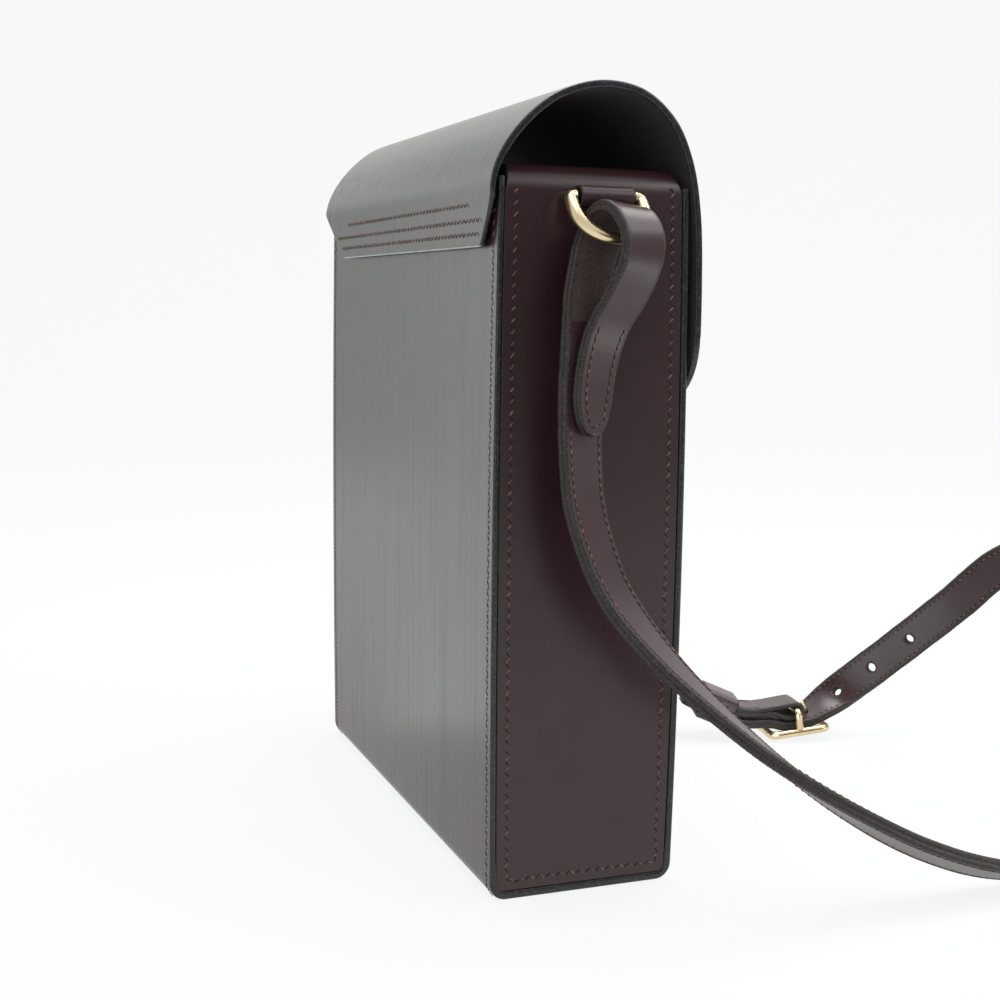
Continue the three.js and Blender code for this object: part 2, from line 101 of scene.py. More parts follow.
# Loop round the bar: where its two sides join, how far they go on, how they stand apart and how they bow
LOOP = {
    "join": 13.0, "tail": 6.0, "clear": 0.05, "spread": 0.1, "narrowing": 0.1,
    "rise_at": 0.5, "sag_at": 0.45, "sag": 0.86,
}
KEEPER = {"length": 18.0, "centre": 2.0, "leather": 2.0, "slack": 0.8, "corner": 2.4}
HOLE = {"radius": 2.3, "sides": 24, "reach": 8.0}
# Corners nearer than this are one corner, in metres
WELD = 0.00001

# Rows of stitches: how high they lie on the leather, and how far they stay from edges and ends
BODY_ROW = {"lift": 0.05, "end": 4.0, "base": 3.0, "rim": 0.3}
STRAP_ROW = {"lift": 0.08, "inset": 2.5, "start": 4.0, "below_tongue": 42.0}
STRAP_ROW_END = {"long": 12.0, "short": 4.0}
TONGUE_ROW = {"lift": 0.1, "inset": 3.3, "short": 1.2, "least": 0.4}
# One stitch and one awl slit: half sizes as shares of the stitch's length and the thread's thickness
STITCH = {"X": 0.31, "Y": 0.5, "Z": 0.46}
SLIT = {"X": 0.31, "Y": 0.46, "Z": 0.24}
# The thread crosses its slit, and each stitch strays a little in turn and size
CROSSING = -1.1
STRAY = 0.2
SMALLEST = (0.82, 0.85, 0.9)
LARGEST = (1.08, 1.2, 1.15)

# Points that the curves are drawn with
STEPS = {
    "route": 8, "panel": 54, "base_bend": 12, "base": 9, "gusset_corner": 7, "gusset": 50, "fold": 14,
    "ear": 10, "flap": 12, "hem": 14, "bend": 7, "loop": 3, "loop_bend": 9, "prong": 5, "chape": 19,
    "bar": 9, "leg": 3, "bow": 26, "ball": 14, "body_row": 160, "gusset_row": 120, "gusset_base": 40,
    "flap_row": 60, "strap_row": 400, "tongue_row": 40, "sweep": 16, "card": 16,
}
# Stations of the flap that lie flat on the back
FLAP_BACK_STATIONS = 20
# Sides of round brass, and a direction that no wire runs along
SIDES = {"buckle": 16, "prong": 12, "ring": 18, "stud": 28}
WIRE_UP = (0.31, 0.17, 0.94)

# Rounding of a cut edge: the most of the thickness that it takes, its stations from an end in roundings,
# its points, and how the columns beside it share what is flat
EDGE = {
    "share": 0.48, "stations": (0, 0.15, 0.5, 1.0), "points": 5, "belly": 0.1, "lift": 0.95,
    "least": 0.05, "middle": 0.5, "clear": 0.7, "inner": 0.4,
}
# Groove between two plies: gap, then the lip's reach and rise as shares of the depth, and the lip's mark
GROOVE = {"gap": 0.03, "lip": 0.2, "rise": 0.9, "mark": 0.45}
# Waver of a hand-cut edge: turn to the millimetre, start and strength
WAVER = ((0.29, 0.7, 1.0), (0.83, 2.1, 0.6))
# Edge colour carried on to the face beside the edge: distance from the edge's rounding, and strength
PLAIN = ((0.0, 0.6), (0.7, 0.0))
DARK_MARGIN = ((0.0, 0.85), (0.4, 0.5), (1.1, 0.0))
# Cut of each piece: rounding of its edge, columns across it, and what else it has
CUT = {
    "strap": {"rim": 1.2, "columns": 9, "groove": 0.4, "lined": True, "waver": 0.07, "margin": DARK_MARGIN},
    "tongue": {"rim": 1.0, "columns": 9, "groove": 0.2, "waver": 0.06, "margin": DARK_MARGIN},
    "loop": {"rim": 0.8, "columns": 7},
    "keeper": {"rim": 0.7, "columns": 5},
    "body": {"rim": 0.95, "columns": 25},
    "gusset": {"rim": 0.45, "columns": 15},
    "flap": {"rim": 0.8, "columns": 25, "painted_highlight_end": True},
    "chape": {"rim": 0.7, "columns": 9},
}
# The two leathers: their colours in the panel, roughness of face and cut edge, and the scale of drawn streaks
LEATHERS = {
    "bridle leather": {"face": "leather", "deep": "leather_deep", "edge": "edge", "flesh": "flesh",
                       "gloss": 0.3, "edge_rough": 0.31, "drawn": (260.0, 260.0, 7.0)},
    "strap leather": {"face": "strap", "deep": "strap_deep", "edge": "strap_edge", "flesh": "strap_flesh",
                      "gloss": 0.34, "edge_rough": 0.55, "drawn": (70.0, 70.0, 70.0)},
}
# Patterns in the finishes: scale to the metre, detail and roughness
PATTERNS = {
    "cloud": (34.0, 5.0, 0.6),
    "fine": (1500.0, 3.0, 0.5),
    "bristle": (1100.0, 7.0, 0.75),
    "wave": (420.0, 3.0, 0.5),
    "streaks": (1.0, 4.0, 0.6),
    "cast": (300.0, 4.0, 0.5),
    "tone": (90.0, 3.0, 0.5),
    "strand": (2600.0, 3.0, 0.5),
    "highlight_patches": (260.0, 1.0, 0.5),
    "speck": (1500.0, 2.0, 0.5),
    "paper": (3.0, 2.0, 0.5),
}
PORES = 1500.0
# Fine relief: strength, and depth in metres
LEATHER_RELIEF = (0.5, 0.00016)
BRASS_RELIEF = (0.03, 0.0001)
THREAD_RELIEF = (0.4, 0.0001)
# Depths between which the streaks set in, towards the back, and their even tone elsewhere
STREAKS_FROM = (0.036, 0.041)
STREAKS_NONE = 0.45
# Painted highlight along the flap's sewn end, as a pale line; and the two tones of painted shade in an awl
# slit
PAINTED_HIGHLIGHT_LINE = (0.42, 0.46, 0.46, 1)
SLIT_SHADE_TONES = ((0.004, 0.003, 0.003, 1), (0.010, 0.007, 0.006, 1))

# Flap's outer face from the sewn hem on the back to the hem in front: y, z
FLAP_ROWS = [
    (42.3, 244), (42.3, 256), (42.5, 267), (39.4, 276.5), (30.6, 288.6), (17.5, 298.9), (0, 304),
    (-17, 301.6), (-30, 291.5), (-37.4, 277), (-41.3, 258), (-42.8, 230), (-42.8, 187),
]

# Strap routes: x, y, z of the centre, then the direction that the outer face looks
HANG_ROWS = [
    (-126.4, 9.0, 220, -0.94, -0.34, 0),
    (-127.0, 9.8, 204, -0.94, -0.34, 0),
    (-127.7, 10.4, 189, -0.94, -0.34, 0.02),
    (-128.6, 10.3, 172, -0.93, -0.36, 0.06),
    (-130.5, 9.2, 153, -0.9, -0.4, 0.16),
]
LONG_ROWS = [
    (-134, 5.1, 135, -0.84, -0.45, 0.3),
    (-138.5, -1.6, 118, -0.73, -0.48, 0.48),
    (-144.5, -14.2, 100, -0.56, -0.5, 0.66),
    (-151, -29.7, 83, -0.36, -0.46, 0.8),
    (-157.5, -50.5, 64, -0.16, -0.4, 0.9),
    (-162, -71, 48.5, 0.06, -0.3, 0.94),
    (-165.5, -90, 36, 0.22, -0.22, 0.93),
    (-168.5, -110.5, 24.5, 0.33, -0.14, 0.92),
    (-170.5, -131.5, 15.5, 0.4, -0.08, 0.9),
    (-171.5, -152, 9.5, 0.45, 0, 0.88),
    (-172, -174, 7, 0.5, 0.06, 0.86),
    (-171, -200, 8.5, 0.56, 0.16, 0.8),
    (-167, -230, 17, 0.64, 0.32, 0.68),
    (-157, -262, 36, 0.7, 0.5, 0.5),
    (-140, -286, 62, 0.66, 0.68, 0.24),
    (-116, -300, 90, 0.5, 0.84, -0.1),
    (-90, -301, 110.5, 0.2, 0.9, -0.36),
    (-67, -293, 117.5, -0.2, 0.86, -0.4),
    (-46, -281, 111, -0.52, 0.72, -0.26),
    (-24.7, -265.7, 97.8, -0.7, 0.64, 0.05),
    (-7.8, -253.1, 76.6, -0.74, 0.6, 0.12),
    (11, -240.9, 55.1, -0.75, 0.58, 0.16),
    (24.3, -227.8, 37.5, -0.74, 0.54, 0.26),
    (34.7, -214.6, 22.4, -0.56, 0.44, 0.6),
]
SHORT_ROWS = [
    (134, 5.1, 135, 0.84, -0.45, 0.3),
    (138.5, -4, 117, 0.72, -0.52, 0.46),
    (141, -19, 100, 0.52, -0.6, 0.62),
    (138.5, -40, 83, 0.28, -0.62, 0.74),
    (129, -63, 67, 0.04, -0.58, 0.82),
    (112, -83, 54, -0.14, -0.46, 0.88),
    (91, -99, 43.5, -0.22, -0.4, 0.9),
    (72, -114, 35, -0.2, -0.36, 0.92),
]
# Turned end: the strap goes on up behind the ring's bow, over it, and down as a tongue sewn on itself
TURN_ROWS = [
    (-126.7, 9.35, 212, 0.94, 0.34, 0),
    (-126.3, 8.9, 221, 0.94, 0.34, 0),
    (-126.1, 8.6, 226, 0.95, 0.32, 0),
    (-125.2, 6.9, 234, 0.95, 0.3, 0.02),
    (-123.8, 3.9, 244, 0.97, 0.2, 0.1),
    (-124.4, 0.1, 252.8, 0.86, 0.04, 0.5),
    (-129.6, -2.3, 257.6, 0.08, -0.12, 0.98),
    (-135.6, -4.75, 255.8, -0.6, -0.24, 0.76),
    (-139.9, -6.8, 248.3, -0.92, -0.32, 0.22),
    (-140.2, -5.9, 238, -0.94, -0.34, -0.05),
    (-136.3, -2.2, 226.5, -0.92, -0.3, -0.24),
    (-132.3, 1, 218.3, -0.92, -0.32, -0.18),
    (-130.9, 4, 209.5, -0.94, -0.34, -0.02),
    (-131.2, 6.4, 198.5, -0.94, -0.34, 0),
    (-132, 7.6, 188, -0.94, -0.34, 0.03),
    (-132.8, 7.9, 177, -0.93, -0.36, 0.06),
]

# Camera: place in millimetres, viewing angles and lens
CAMERA = {
    "place": (-616.04, 226.46, 224.01), "azimuth": 249.17, "elevation": 7.58, "roll": 0.93,
    "lens": 53.31, "sensor": 36.0, "nearest": 0.01,
}
# Soft lights: name, place in metres, what it looks at, its two sides and its power
LIGHTS = (
    ("Top light", (0.2, -0.55, 1.3), (0.2, -0.55, 0.0), (0.6, 1.5), 14.5),
    ("Side light", (-0.75, -1.0, 1.0), (-0.1, 0.0, 0.15), (0.8, 0.8), 8.0),
    ("Over light", (-0.05, 0.12, 1.25), (-0.05, 0.12, 0.0), (0.5, 0.5), 6.0),
)
# Cards and cloths round the bag that only shine shows: angles from the near side, distance and height of the
# lower and the upper rim, and glow. A card glows towards the bag, or away from it where its angles go down
CARDS = (
    ("Dark cloth", -27, 12, (0.9, 0.02), (0.9, 0.7), 0.03),
    ("Grey cloth", -95, -27, (0.95, 0.05), (0.95, 0.7), 0.3),
    ("Low card", -80, -48, (0.5, 0.0), (0.5, 0.12), 2.8),
    ("Front card", -115, -150, (0.16, 0.0), (0.16, 0.055), 2.8),
    ("Left card", 128, 158, (1.5, 0.0), (1.5, 1.0), 2.6),
    ("Back card", 158, 166, (1.5, 0.0), (1.5, 0.45), 0.3),
    ("Far card", 166, 205, (1.5, 0.0), (1.5, 0.45), 0.85),
    ("Middle card", 158, 205, (1.5, 0.45), (1.5, 1.0), 1.1),
    ("High card", 128, 205, (1.5, 1.0), (1.5, 2.2), 1.85),
    ("Floor card", 128, 161, (0.24, 0.001), (1.4, 0.001), 1.75),
)
CARD_COLOUR = (0.91, 1.0, 0.96, 1)
# Paper sweep, in metres: where it begins, where it turns up and in what bend, its top, half width and drop
SWEEP = {"begin": -5.0, "turn": 1.6, "bend": 1.4, "top": 5.0, "half": 6.0, "drop": 0.0002}
PAPER_TONES = ((0.078, 0.08, 0.08, 1), (0.08, 0.082, 0.082, 1))
PAPER_GLOW = 0.87
PAPER_GLOW_COLOUR = (0.985, 1.0, 1.0, 1)
# Sky as the leather has it, and as the camera sees it
SKY_TONES = ((0.80, 0.825, 0.825, 1), (0.955, 0.966, 0.966, 1))


def length(name, description, metres):
    return FloatProperty(name=name, description=description, default=metres, unit="LENGTH")


def angle(name, description, degrees):
    return FloatProperty(name=name, description=description, default=math.radians(degrees), subtype="ANGLE")


def colour(name, description, *tone):
    default = (*tone, 1)
    return FloatVectorProperty(name=name, description=description, default=default, size=4, subtype="COLOR")


class SatchelSizes(bpy.types.PropertyGroup):
    """Sizes of the stitching"""
    pitch: length("Body stitch", "Length of one stitch on the body", 0.00415)
    strap_pitch: length("Strap stitch", "Length of one stitch on the strap", 0.0032)
    thread: length("Thread", "Thickness of the body's thread", 0.0006)
    strap_thread: length("Strap thread", "Thickness of the strap's thread", 0.0006)
    slant: angle("Slant", "Turn of each awl slit out of its row; the thread crosses back", 40)
    strap_slant: angle("Strap slant", "Turn of each awl slit out of its row on the strap", 20)
    row_inset: length("Row inset", "Distance of the body's rows from a cut edge", 0.0042)


class SatchelFinish(bpy.types.PropertyGroup):
    """Colours of the leathers, the thread and the brass"""
    leather: colour("Leather", "Dark brown of the body", 0.035, 0.0135, 0.0165)
    leather_deep: colour("Leather, deep", "Darker cloud in the body's colour", 0.026, 0.0095, 0.0120)
    strap: colour("Strap", "Brown of the strap's face", 0.050, 0.0220, 0.0255)
    strap_deep: colour("Strap, deep", "Darker cloud in the strap's colour", 0.034, 0.0140, 0.0165)
    edge: colour("Burnished edge", "Cut edges of the body", 0.0095, 0.0091, 0.0102)
    strap_edge: colour("Strap edge", "Cut edges of the strap", 0.0130, 0.0085, 0.0080)
    fibre: colour("Edge fibre", "Bare fibre in the seam between two plies", 0.085, 0.042, 0.028)
    flesh: colour("Flesh side", "Rough inside of the leather", 0.040, 0.029, 0.034)
    strap_flesh: colour("Strap flesh side", "Rough back of the strap's ply", 0.060, 0.036, 0.031)
    thread: colour("Thread", "Waxed thread", 0.125, 0.056, 0.034)
    brass: colour("Brass", "Satin brass", 0.80, 0.645, 0.41)


class SatchelSettings(bpy.types.PropertyGroup):
    """Sizes and colours that a user would change"""
    sizes: PointerProperty(type=SatchelSizes)
    finish: PointerProperty(type=SatchelFinish)


def settings():
    return bpy.context.scene.satchel


# Curves and bands

def spline(rows, per, even=True):
    """Catmull-Rom through the rows, with even or centripetal knots, per steps to each span."""
    rows = np.asarray(rows, float)
    padded = np.vstack([2 * rows[0] - rows[1], rows, 2 * rows[-1] - rows[-2]])
    power = 0.0 if even else 0.5
    out = []
    for p0, p1, p2, p3 in zip(padded, padded[1:], padded[2:], padded[3:]):
        d0, d1, d2 = (np.linalg.norm(b - a) ** power for a, b in ((p0, p1), (p1, p2), (p2, p3)))
        t1 = ((p1 - p0) / d0 - (p2 - p0) / (d0 + d1) + (p2 - p1) / d1) * d1
        t2 = ((p2 - p1) / d1 - (p3 - p1) / (d1 + d2) + (p3 - p2) / d2) * d1
        for t in np.arange(per) / per:
            out.append((2 * t**3 - 3 * t**2 + 1) * p1 + (t**3 - 2 * t**2 + t) * t1
                       + (3 * t**2 - 2 * t**3) * p2 + (t**3 - t**2) * t2)
    out.append(rows[-1])
    return np.array(out)


def bent(corners, radius, closed):
    """A polyline whose corners are rounded."""
    corners = np.asarray(corners, float)
    out = []
    n = len(corners)
    for i, p in enumerate(corners):
        if not closed and i in (0, n - 1):
            out.append(p)
            continue
        a, b = unit(corners[i - 1] - p), unit(corners[(i + 1) % n] - p)
        for t in np.linspace(0, 1, STEPS["bend"]):
            out.append(p + radius * (a * (1 - t) ** 2 + b * t**2))
    return np.array(out)


def quarter(steps):
    """Angles from nothing to a right angle."""
    return np.radians(np.linspace(0, 90, steps))


def circle(sides):
    return np.linspace(0, 2 * np.pi, sides, endpoint=False)


def unit(v):
    return v / np.linalg.norm(v, axis=-1, keepdims=True)


def direction(points, loop=False):
    """Where a line of points runs, at each of them."""
    if loop:
        return np.roll(points, -1, 0) - np.roll(points, 1, 0)
    return np.gradient(np.asarray(points, float), axis=0)


def planar_outs(points, normal, turn):
    """Outward directions of a line that stays in the plane of a normal."""
    return np.cross(np.asarray(normal, float), direction(points)) * turn


def rounded_tip(left, blunt):
    """Share of the full width near a rounded tip, from the share of its length that is left."""
    return blunt + (1 - blunt) * np.sqrt(1 - (1 - left) ** 2)


class Band:
    """A strip of leather: centres, out and across directions and half widths at its stations."""

    def __init__(self, centres, outs, halves, low, high, closed=False):
        self.centres = np.asarray(centres, float)
        self.closed = closed
        self.run = unit(direction(self.centres, closed))
        outs = np.asarray(outs, float)
        self.out = unit(outs - (outs * self.run).sum(1, keepdims=True) * self.run)
        self.across = np.cross(self.out, self.run)
        self.halves, self.low, self.high = (self.spread(value) for value in (halves, low, high))
        steps = np.linalg.norm(np.diff(self.centres, axis=0), axis=1)
        self.reach = np.concatenate([[0], np.cumsum(steps)])

    def spread(self, value):
        """One value for each station."""
        return np.broadcast_to(np.asarray(value, float), len(self.centres)).copy()

    def blend(self, reach, table):
        """Rows of a table at distances along the band."""
        return np.stack([np.interp(reach, self.reach, column) for column in table.T], -1)

    def at(self, reach):
        """Centre, out, across and half width at distances along the band."""
        out = unit(self.blend(reach, self.out))
        across = unit(self.blend(reach, self.across))
        return self.blend(reach, self.centres), out, across, np.interp(reach, self.reach, self.halves)

    def row(self, reach, x, top=True, lift=0.0):
        """Points and facings on one face, x millimetres from the band's middle line."""
        centre, out, across, _ = self.at(np.asarray(reach, float))
        face, rise = (self.high, lift) if top else (self.low, -lift)
        v = np.interp(reach, self.reach, face) + rise
        x = np.broadcast_to(np.asarray(x, float), len(centre))
        return centre + across * x[:, None] + out * v[:, None], out if top else -out

    def first(self, holds, after=-1.0):
        """First distance along the band, past the given one, where a condition on its stations holds."""
        return self.reach[holds & (self.reach > after)][0]


# Meshes

def object_from(name, verts, faces, material, smooth=True):
    mesh = bpy.data.meshes.new(name)
    mesh.from_pydata(np.asarray(verts).tolist(), [], faces)
    mesh.polygons.foreach_set("use_smooth", [smooth] * len(mesh.polygons))
    mesh.materials.append(material)
    obj = bpy.data.objects.new(name, mesh)
    bpy.context.scene.collection.objects.link(obj)
    return obj


def piece_from(name, points, faces, material, smooth=True):
    """An object from millimetres in the tables' own place."""
    return object_from(name, (np.asarray(points) + SHIFT) * MM, faces, material, smooth)


def tube_faces(stations, ring, loop=False, start=0):
    """Quads between rings of points that follow one another."""
    faces = []
    for i in range(stations if loop else stations - 1):
        here, there = start + i * ring, start + (i + 1) % stations * ring
        for k in range(ring):
            m = (k + 1) % ring
            faces.append((here + k, there + k, there + m, here + m))
    return faces


def tube_caps(stations, ring, start=0):
    """Faces that close the first and the last ring."""
    last = start + (stations - 1) * ring
    return [tuple(range(start, start + ring)), tuple(reversed(range(last, last + ring)))]


def cut_side(flat, r, mid, top, groove, margin):
    """Half of a cut edge, from mid thickness up to the face: reach, height, edge mark and seam mark."""
    outer = flat + r
    if groove:
        lip = groove * GROOVE["lip"]
        side = [(outer - groove, mid + GROOVE["gap"], 1.0, 1.0),
                (outer - lip, mid + groove * GROOVE["rise"], 1.0, GROOVE["mark"])]
    else:
        side = [(outer, mid + (top - mid) * EDGE["belly"], 1.0, 0.0)]
    lift = np.minimum(r, (top - mid) * EDGE["lift"])
    for a in np.radians(np.linspace(180, 90, EDGE["points"]))[:-1]:
        side.append((flat - r * np.cos(a), top - lift + lift * np.sin(a), 1.0, 0.0))
    for distance, edge_share in margin:
        inward = np.minimum(distance, flat * EDGE["middle"] * distance / margin[-1][0])
        side.append((flat - inward, top, edge_share, 0.0))
    return side


def leather_band(name, band, material, rim, columns, groove=0.0, lined=False, waver=0.0, painted_highlight_end=False,
                 margin=PLAIN):
    """Mesh of a band with rounded cut edges.

    Attributes mark its edges, the seam between two plies, the grain side and, where it has one, the end that
    takes a painted highlight line.
    """
    r = min(rim, (band.high - band.low).min() * EDGE["share"])
    stations = band.reach
    pinch = np.zeros(len(stations))
    if not band.closed:
        total = band.reach[-1]
        ends = np.array(EDGE["stations"]) * r
        between = stations[(stations > r) & (stations < total - r)]
        stations = np.unique(np.concatenate([ends, total - ends, between]))
        left = np.clip(np.minimum(stations, total - stations), 0, r)
        pinch = r - np.sqrt(np.maximum(r**2 - (r - left) ** 2, 0))
    centre, out, across, half = band.at(stations)
    low, high = (np.interp(stations, band.reach, face) for face in (band.low, band.high))
    mid = (low + high) / 2
    half = half + waver * sum(strength * np.sin(turn * stations + start) for turn, start, strength in WAVER)
    flat = np.maximum(half - pinch - r, EDGE["least"])
    top = high - pinch

    side = cut_side(flat, r, mid, top, groove, margin)
    face_half = np.maximum(flat - margin[-1][0] - EDGE["clear"], flat * EDGE["inner"])
    upper = [(-x, v, mark, fold) for x, v, mark, fold in side]
    upper += [(t * face_half, top, 0.0, 0.0) for t in np.linspace(-1, 1, columns)[1:-1]]
    upper += reversed(side)
    xs, vs, marks, folds = zip(*upper)
    xs = np.stack([*xs, *reversed(xs)], 1)
    vs = np.stack([*vs, *(2 * mid - v for v in reversed(vs))], 1)
    marks = np.array([*marks, *reversed(marks)])
    folds = np.array([*folds, *reversed(folds)])
    points = centre[:, None] + across[:, None] * xs[..., None] + out[:, None] * vs[..., None]

    n, ring = xs.shape
    faces = tube_faces(n, ring, band.closed)
    if not band.closed:
        last = (n - 1) * ring
        for k in range(ring // 2 - 1):
            quad = (k, k + 1, ring - 2 - k, ring - 1 - k)
            faces.append(quad)
            faces.append(tuple(last + q for q in reversed(quad)))
    obj = piece_from(name, points.reshape(-1, 3), faces, material)
    end_mark = np.clip(pinch / r, 0, 1)[:, None]
    grain = np.concatenate([np.ones(ring // 2), np.full(ring // 2, float(lined))])
    shown = {"edge": np.maximum(marks, end_mark), "grain": grain, "seam": folds}
    # Painted highlight: the rounding at the first end is marked for a pale line, as if light caught that edge
    if painted_highlight_end:
        shown["pale"] = end_mark * (stations[:, None] < r)
    for label, values in shown.items():
        values = np.broadcast_to(values, (n, ring)).astype(np.float32).ravel()
        obj.data.attributes.new(label, "FLOAT", "POINT").data.foreach_set("value", values)
    return obj


def wire_mesh(name, wires, material, sides):
    """Round wires in one mesh, each with its points, its radii and whether it closes on itself."""
    verts, faces = [], []
    for points, radii, loop in wires:
        points = np.asarray(points, float)
        radii = np.broadcast_to(np.asarray(radii, float), len(points))
        up = np.array(WIRE_UP)
        start = len(verts)
        for p, t, r in zip(points, unit(direction(points, loop)), radii):
            up = unit(up - np.dot(up, t) * t)
            aside = np.cross(t, up)
            verts.extend(p + r * (np.cos(a) * aside + np.sin(a) * up) for a in circle(sides))
        faces += tube_faces(len(points), sides, loop, start)
        if not loop:
            faces += tube_caps(len(points), sides, start)
    return piece_from(name, verts, faces, material)


# Materials

def feed(tree, node, values):
    """Links or sets the inputs of a node."""
    for key, value in values.items():
        if isinstance(value, bpy.types.NodeSocket):
            tree.links.new(value, node.inputs[key])
        else:
            node.inputs[key].default_value = value


def put(tree, kind, values=None, **props):
    """A new node; its props come first, because they settle which inputs it has."""
    node = tree.nodes.new(kind)
    for key, value in props.items():
        setattr(node, key, value)
    feed(tree, node, values or {})
    return node


def new_material(name):
    material = bpy.data.materials.new(name)
    material.use_nodes = True
    tree = material.node_tree
    return material, tree, tree.nodes["Principled BSDF"]


def object_place(tree):
    return put(tree, "ShaderNodeTexCoord").outputs["Object"]


def noise(tree, place, pattern):
    """One of the named patterns."""
    scale, detail, rough = PATTERNS[pattern]
    values = {"Vector": place, "Scale": scale, "Detail": detail, "Roughness": rough}
    return put(tree, "ShaderNodeTexNoise", values).outputs[0]


def mix_colour(tree, fac, a, b):
    return put(tree, "ShaderNodeMix", {0: fac, 6: a, 7: b}, data_type="RGBA").outputs[2]


def mix_value(tree, fac, a, b):
    return put(tree, "ShaderNodeMix", {0: fac, 2: a, 3: b}).outputs[0]


def times(tree, a, b):
    return put(tree, "ShaderNodeMath", {0: a, 1: b}, operation="MULTIPLY").outputs[0]


def plus(tree, a, b):
    return put(tree, "ShaderNodeMath", {0: a, 1: b}, operation="ADD").outputs[0]


def ranged(tree, value, low, high, to_low=0.0, to_high=1.0):
    return put(tree, "ShaderNodeMapRange", {0: value, 1: low, 2: high, 3: to_low, 4: to_high}).outputs[0]


def relief(tree, height, strength, depth):
    return put(tree, "ShaderNodeBump", {"Height": height, "Strength": strength, "Distance": depth}).outputs[0]


def shade(tone, factor):
    return [min(c * factor, 1.0) for c in tone[:3]] + [1]


def leather_material(name, look):
    """Dressed leather: clouded colour, fine pores, faint streaks, burnished edges, a rough flesh side and a
    painted highlight line where an end is marked for it.
    """
    material, tree, shader = new_material(name)
    own = LEATHERS[name]
    face, deep, edge, flesh = (tuple(getattr(look, own[part])) for part in ("face", "deep", "edge", "flesh"))
    edge_mark, seam_mark, grain_mark, highlight_line_mark = (
        put(tree, "ShaderNodeAttribute", attribute_name=label).outputs["Fac"]
        for label in ("edge", "seam", "grain", "pale")
    )
    place = object_place(tree)
    cloud, fine, bristle, wave = (noise(tree, place, key) for key in ("cloud", "fine", "bristle", "wave"))
    pores = put(tree, "ShaderNodeTexVoronoi", {"Vector": place, "Scale": PORES}).outputs["Distance"]
    drawn = put(tree, "ShaderNodeMapping", {"Vector": place, "Scale": own["drawn"]}).outputs[0]
    depth = put(tree, "ShaderNodeSeparateXYZ", {0: place}).outputs["Y"]
    streaks = noise(tree, drawn, "streaks")
    streaks = mix_value(tree, ranged(tree, depth, *STREAKS_FROM), STREAKS_NONE, streaks)

    face = mix_colour(tree, ranged(tree, cloud, 0.32, 0.7), deep, face)
    face = mix_colour(tree, ranged(tree, streaks, 0.5, 0.72, 0.0, 0.5), face, shade(deep, 0.5))
    face = mix_colour(tree, ranged(tree, fine, 0.35, 0.7, 0.0, 0.35), face, shade(deep, 0.7))
    inside = mix_colour(tree, ranged(tree, bristle, 0.34, 0.68), shade(flesh, 0.4), shade(flesh, 1.5))
    frayed = times(tree, ranged(tree, bristle, 0.5, 0.62), ranged(tree, seam_mark, 0.2, 0.9))
    cut_edge = mix_colour(tree, ranged(tree, wave, 0.35, 0.7), shade(edge, 0.6), edge)
    cut_edge = mix_colour(tree, ranged(tree, bristle, 0.51, 0.6, 0.0, 0.8), cut_edge, shade(edge, 5.0))
    cut_edge = mix_colour(tree, frayed, cut_edge, tuple(look.fibre))
    # Painted highlight: a pale line along the marked end, broken up by the wave pattern
    pale = times(tree, ranged(tree, wave, 0.3, 0.5, 0.25, 1.0), ranged(tree, highlight_line_mark, 0.05, 0.3))
    base = mix_colour(tree, grain_mark, inside, face)
    base = mix_colour(tree, edge_mark, base, cut_edge)
    base = mix_colour(tree, pale, base, PAINTED_HIGHLIGHT_LINE)

    gloss = own["gloss"]
    rough = mix_value(tree, grain_mark, 0.9, ranged(tree, streaks, 0.45, 0.75, gloss - 0.01, gloss + 0.07))
    rough = mix_value(tree, edge_mark, rough, mix_value(tree, frayed, own["edge_rough"], 0.85))

    height = plus(tree, times(tree, pores, 0.30), times(tree, fine, 0.42))
    height = plus(tree, height, times(tree, streaks, -0.25))
    height = mix_value(tree, grain_mark, times(tree, bristle, 5.0), height)
    wear_and_highlight = plus(tree, times(tree, wave, 2.2), times(tree, frayed, 1.6))
    height = mix_value(tree, edge_mark, height, wear_and_highlight)
    feed(tree, shader, {
        "Base Color": base,
        "Roughness": rough,
        "Normal": relief(tree, height, *LEATHER_RELIEF),
    })
    return material


def brass_material(name, look):
    """Satin cast brass with soft handling marks."""
    material, tree, shader = new_material(name)
    place = object_place(tree)
    brass = tuple(look.brass)
    cast, tone = noise(tree, place, "cast"), noise(tree, place, "tone")
    feed(tree, shader, {
        "Base Color": mix_colour(tree, ranged(tree, tone, 0.35, 0.65), shade(brass, 0.86), brass),
        "Roughness": ranged(tree, cast, 0.3, 0.7, 0.22, 0.3),
        "Metallic": 1.0,
        "Normal": relief(tree, cast, *BRASS_RELIEF),
    })
    return material


def thread_material(name, look):
    """Waxed linen thread: laid strands, with painted highlights that lighten it in places."""
    material, tree, shader = new_material(name)
    place = object_place(tree)
    thread = tuple(look.thread)
    strand, highlight_patches = noise(tree, place, "strand"), noise(tree, place, "highlight_patches")
    laid = mix_colour(tree, ranged(tree, strand, 0.3, 0.7), shade(thread, 0.5), thread)
    # Painted highlights: patches of thread lightened as if lit, laid in where the highlight pattern runs high
    wear_and_highlight = mix_colour(tree, ranged(tree, strand, 0.3, 0.7), thread, shade(thread, 2.2))
    feed(tree, shader, {
        "Base Color": mix_colour(tree, ranged(tree, highlight_patches, 0.42, 0.66), laid, wear_and_highlight),
        "Roughness": 0.55,
        "Normal": relief(tree, strand, *THREAD_RELIEF),
    })
    return material


def awl_shade_material(name, look):
    """Dark inside of an awl slit."""
    # Painted shade in an awl slit: near-black tones stand in for the shade inside the hole.
    material, tree, shader = new_material(name)
    speck = noise(tree, object_place(tree), "speck")
    feed(tree, shader, {"Base Color": mix_colour(tree, speck, *SLIT_SHADE_TONES), "Roughness": 0.9})
    return material


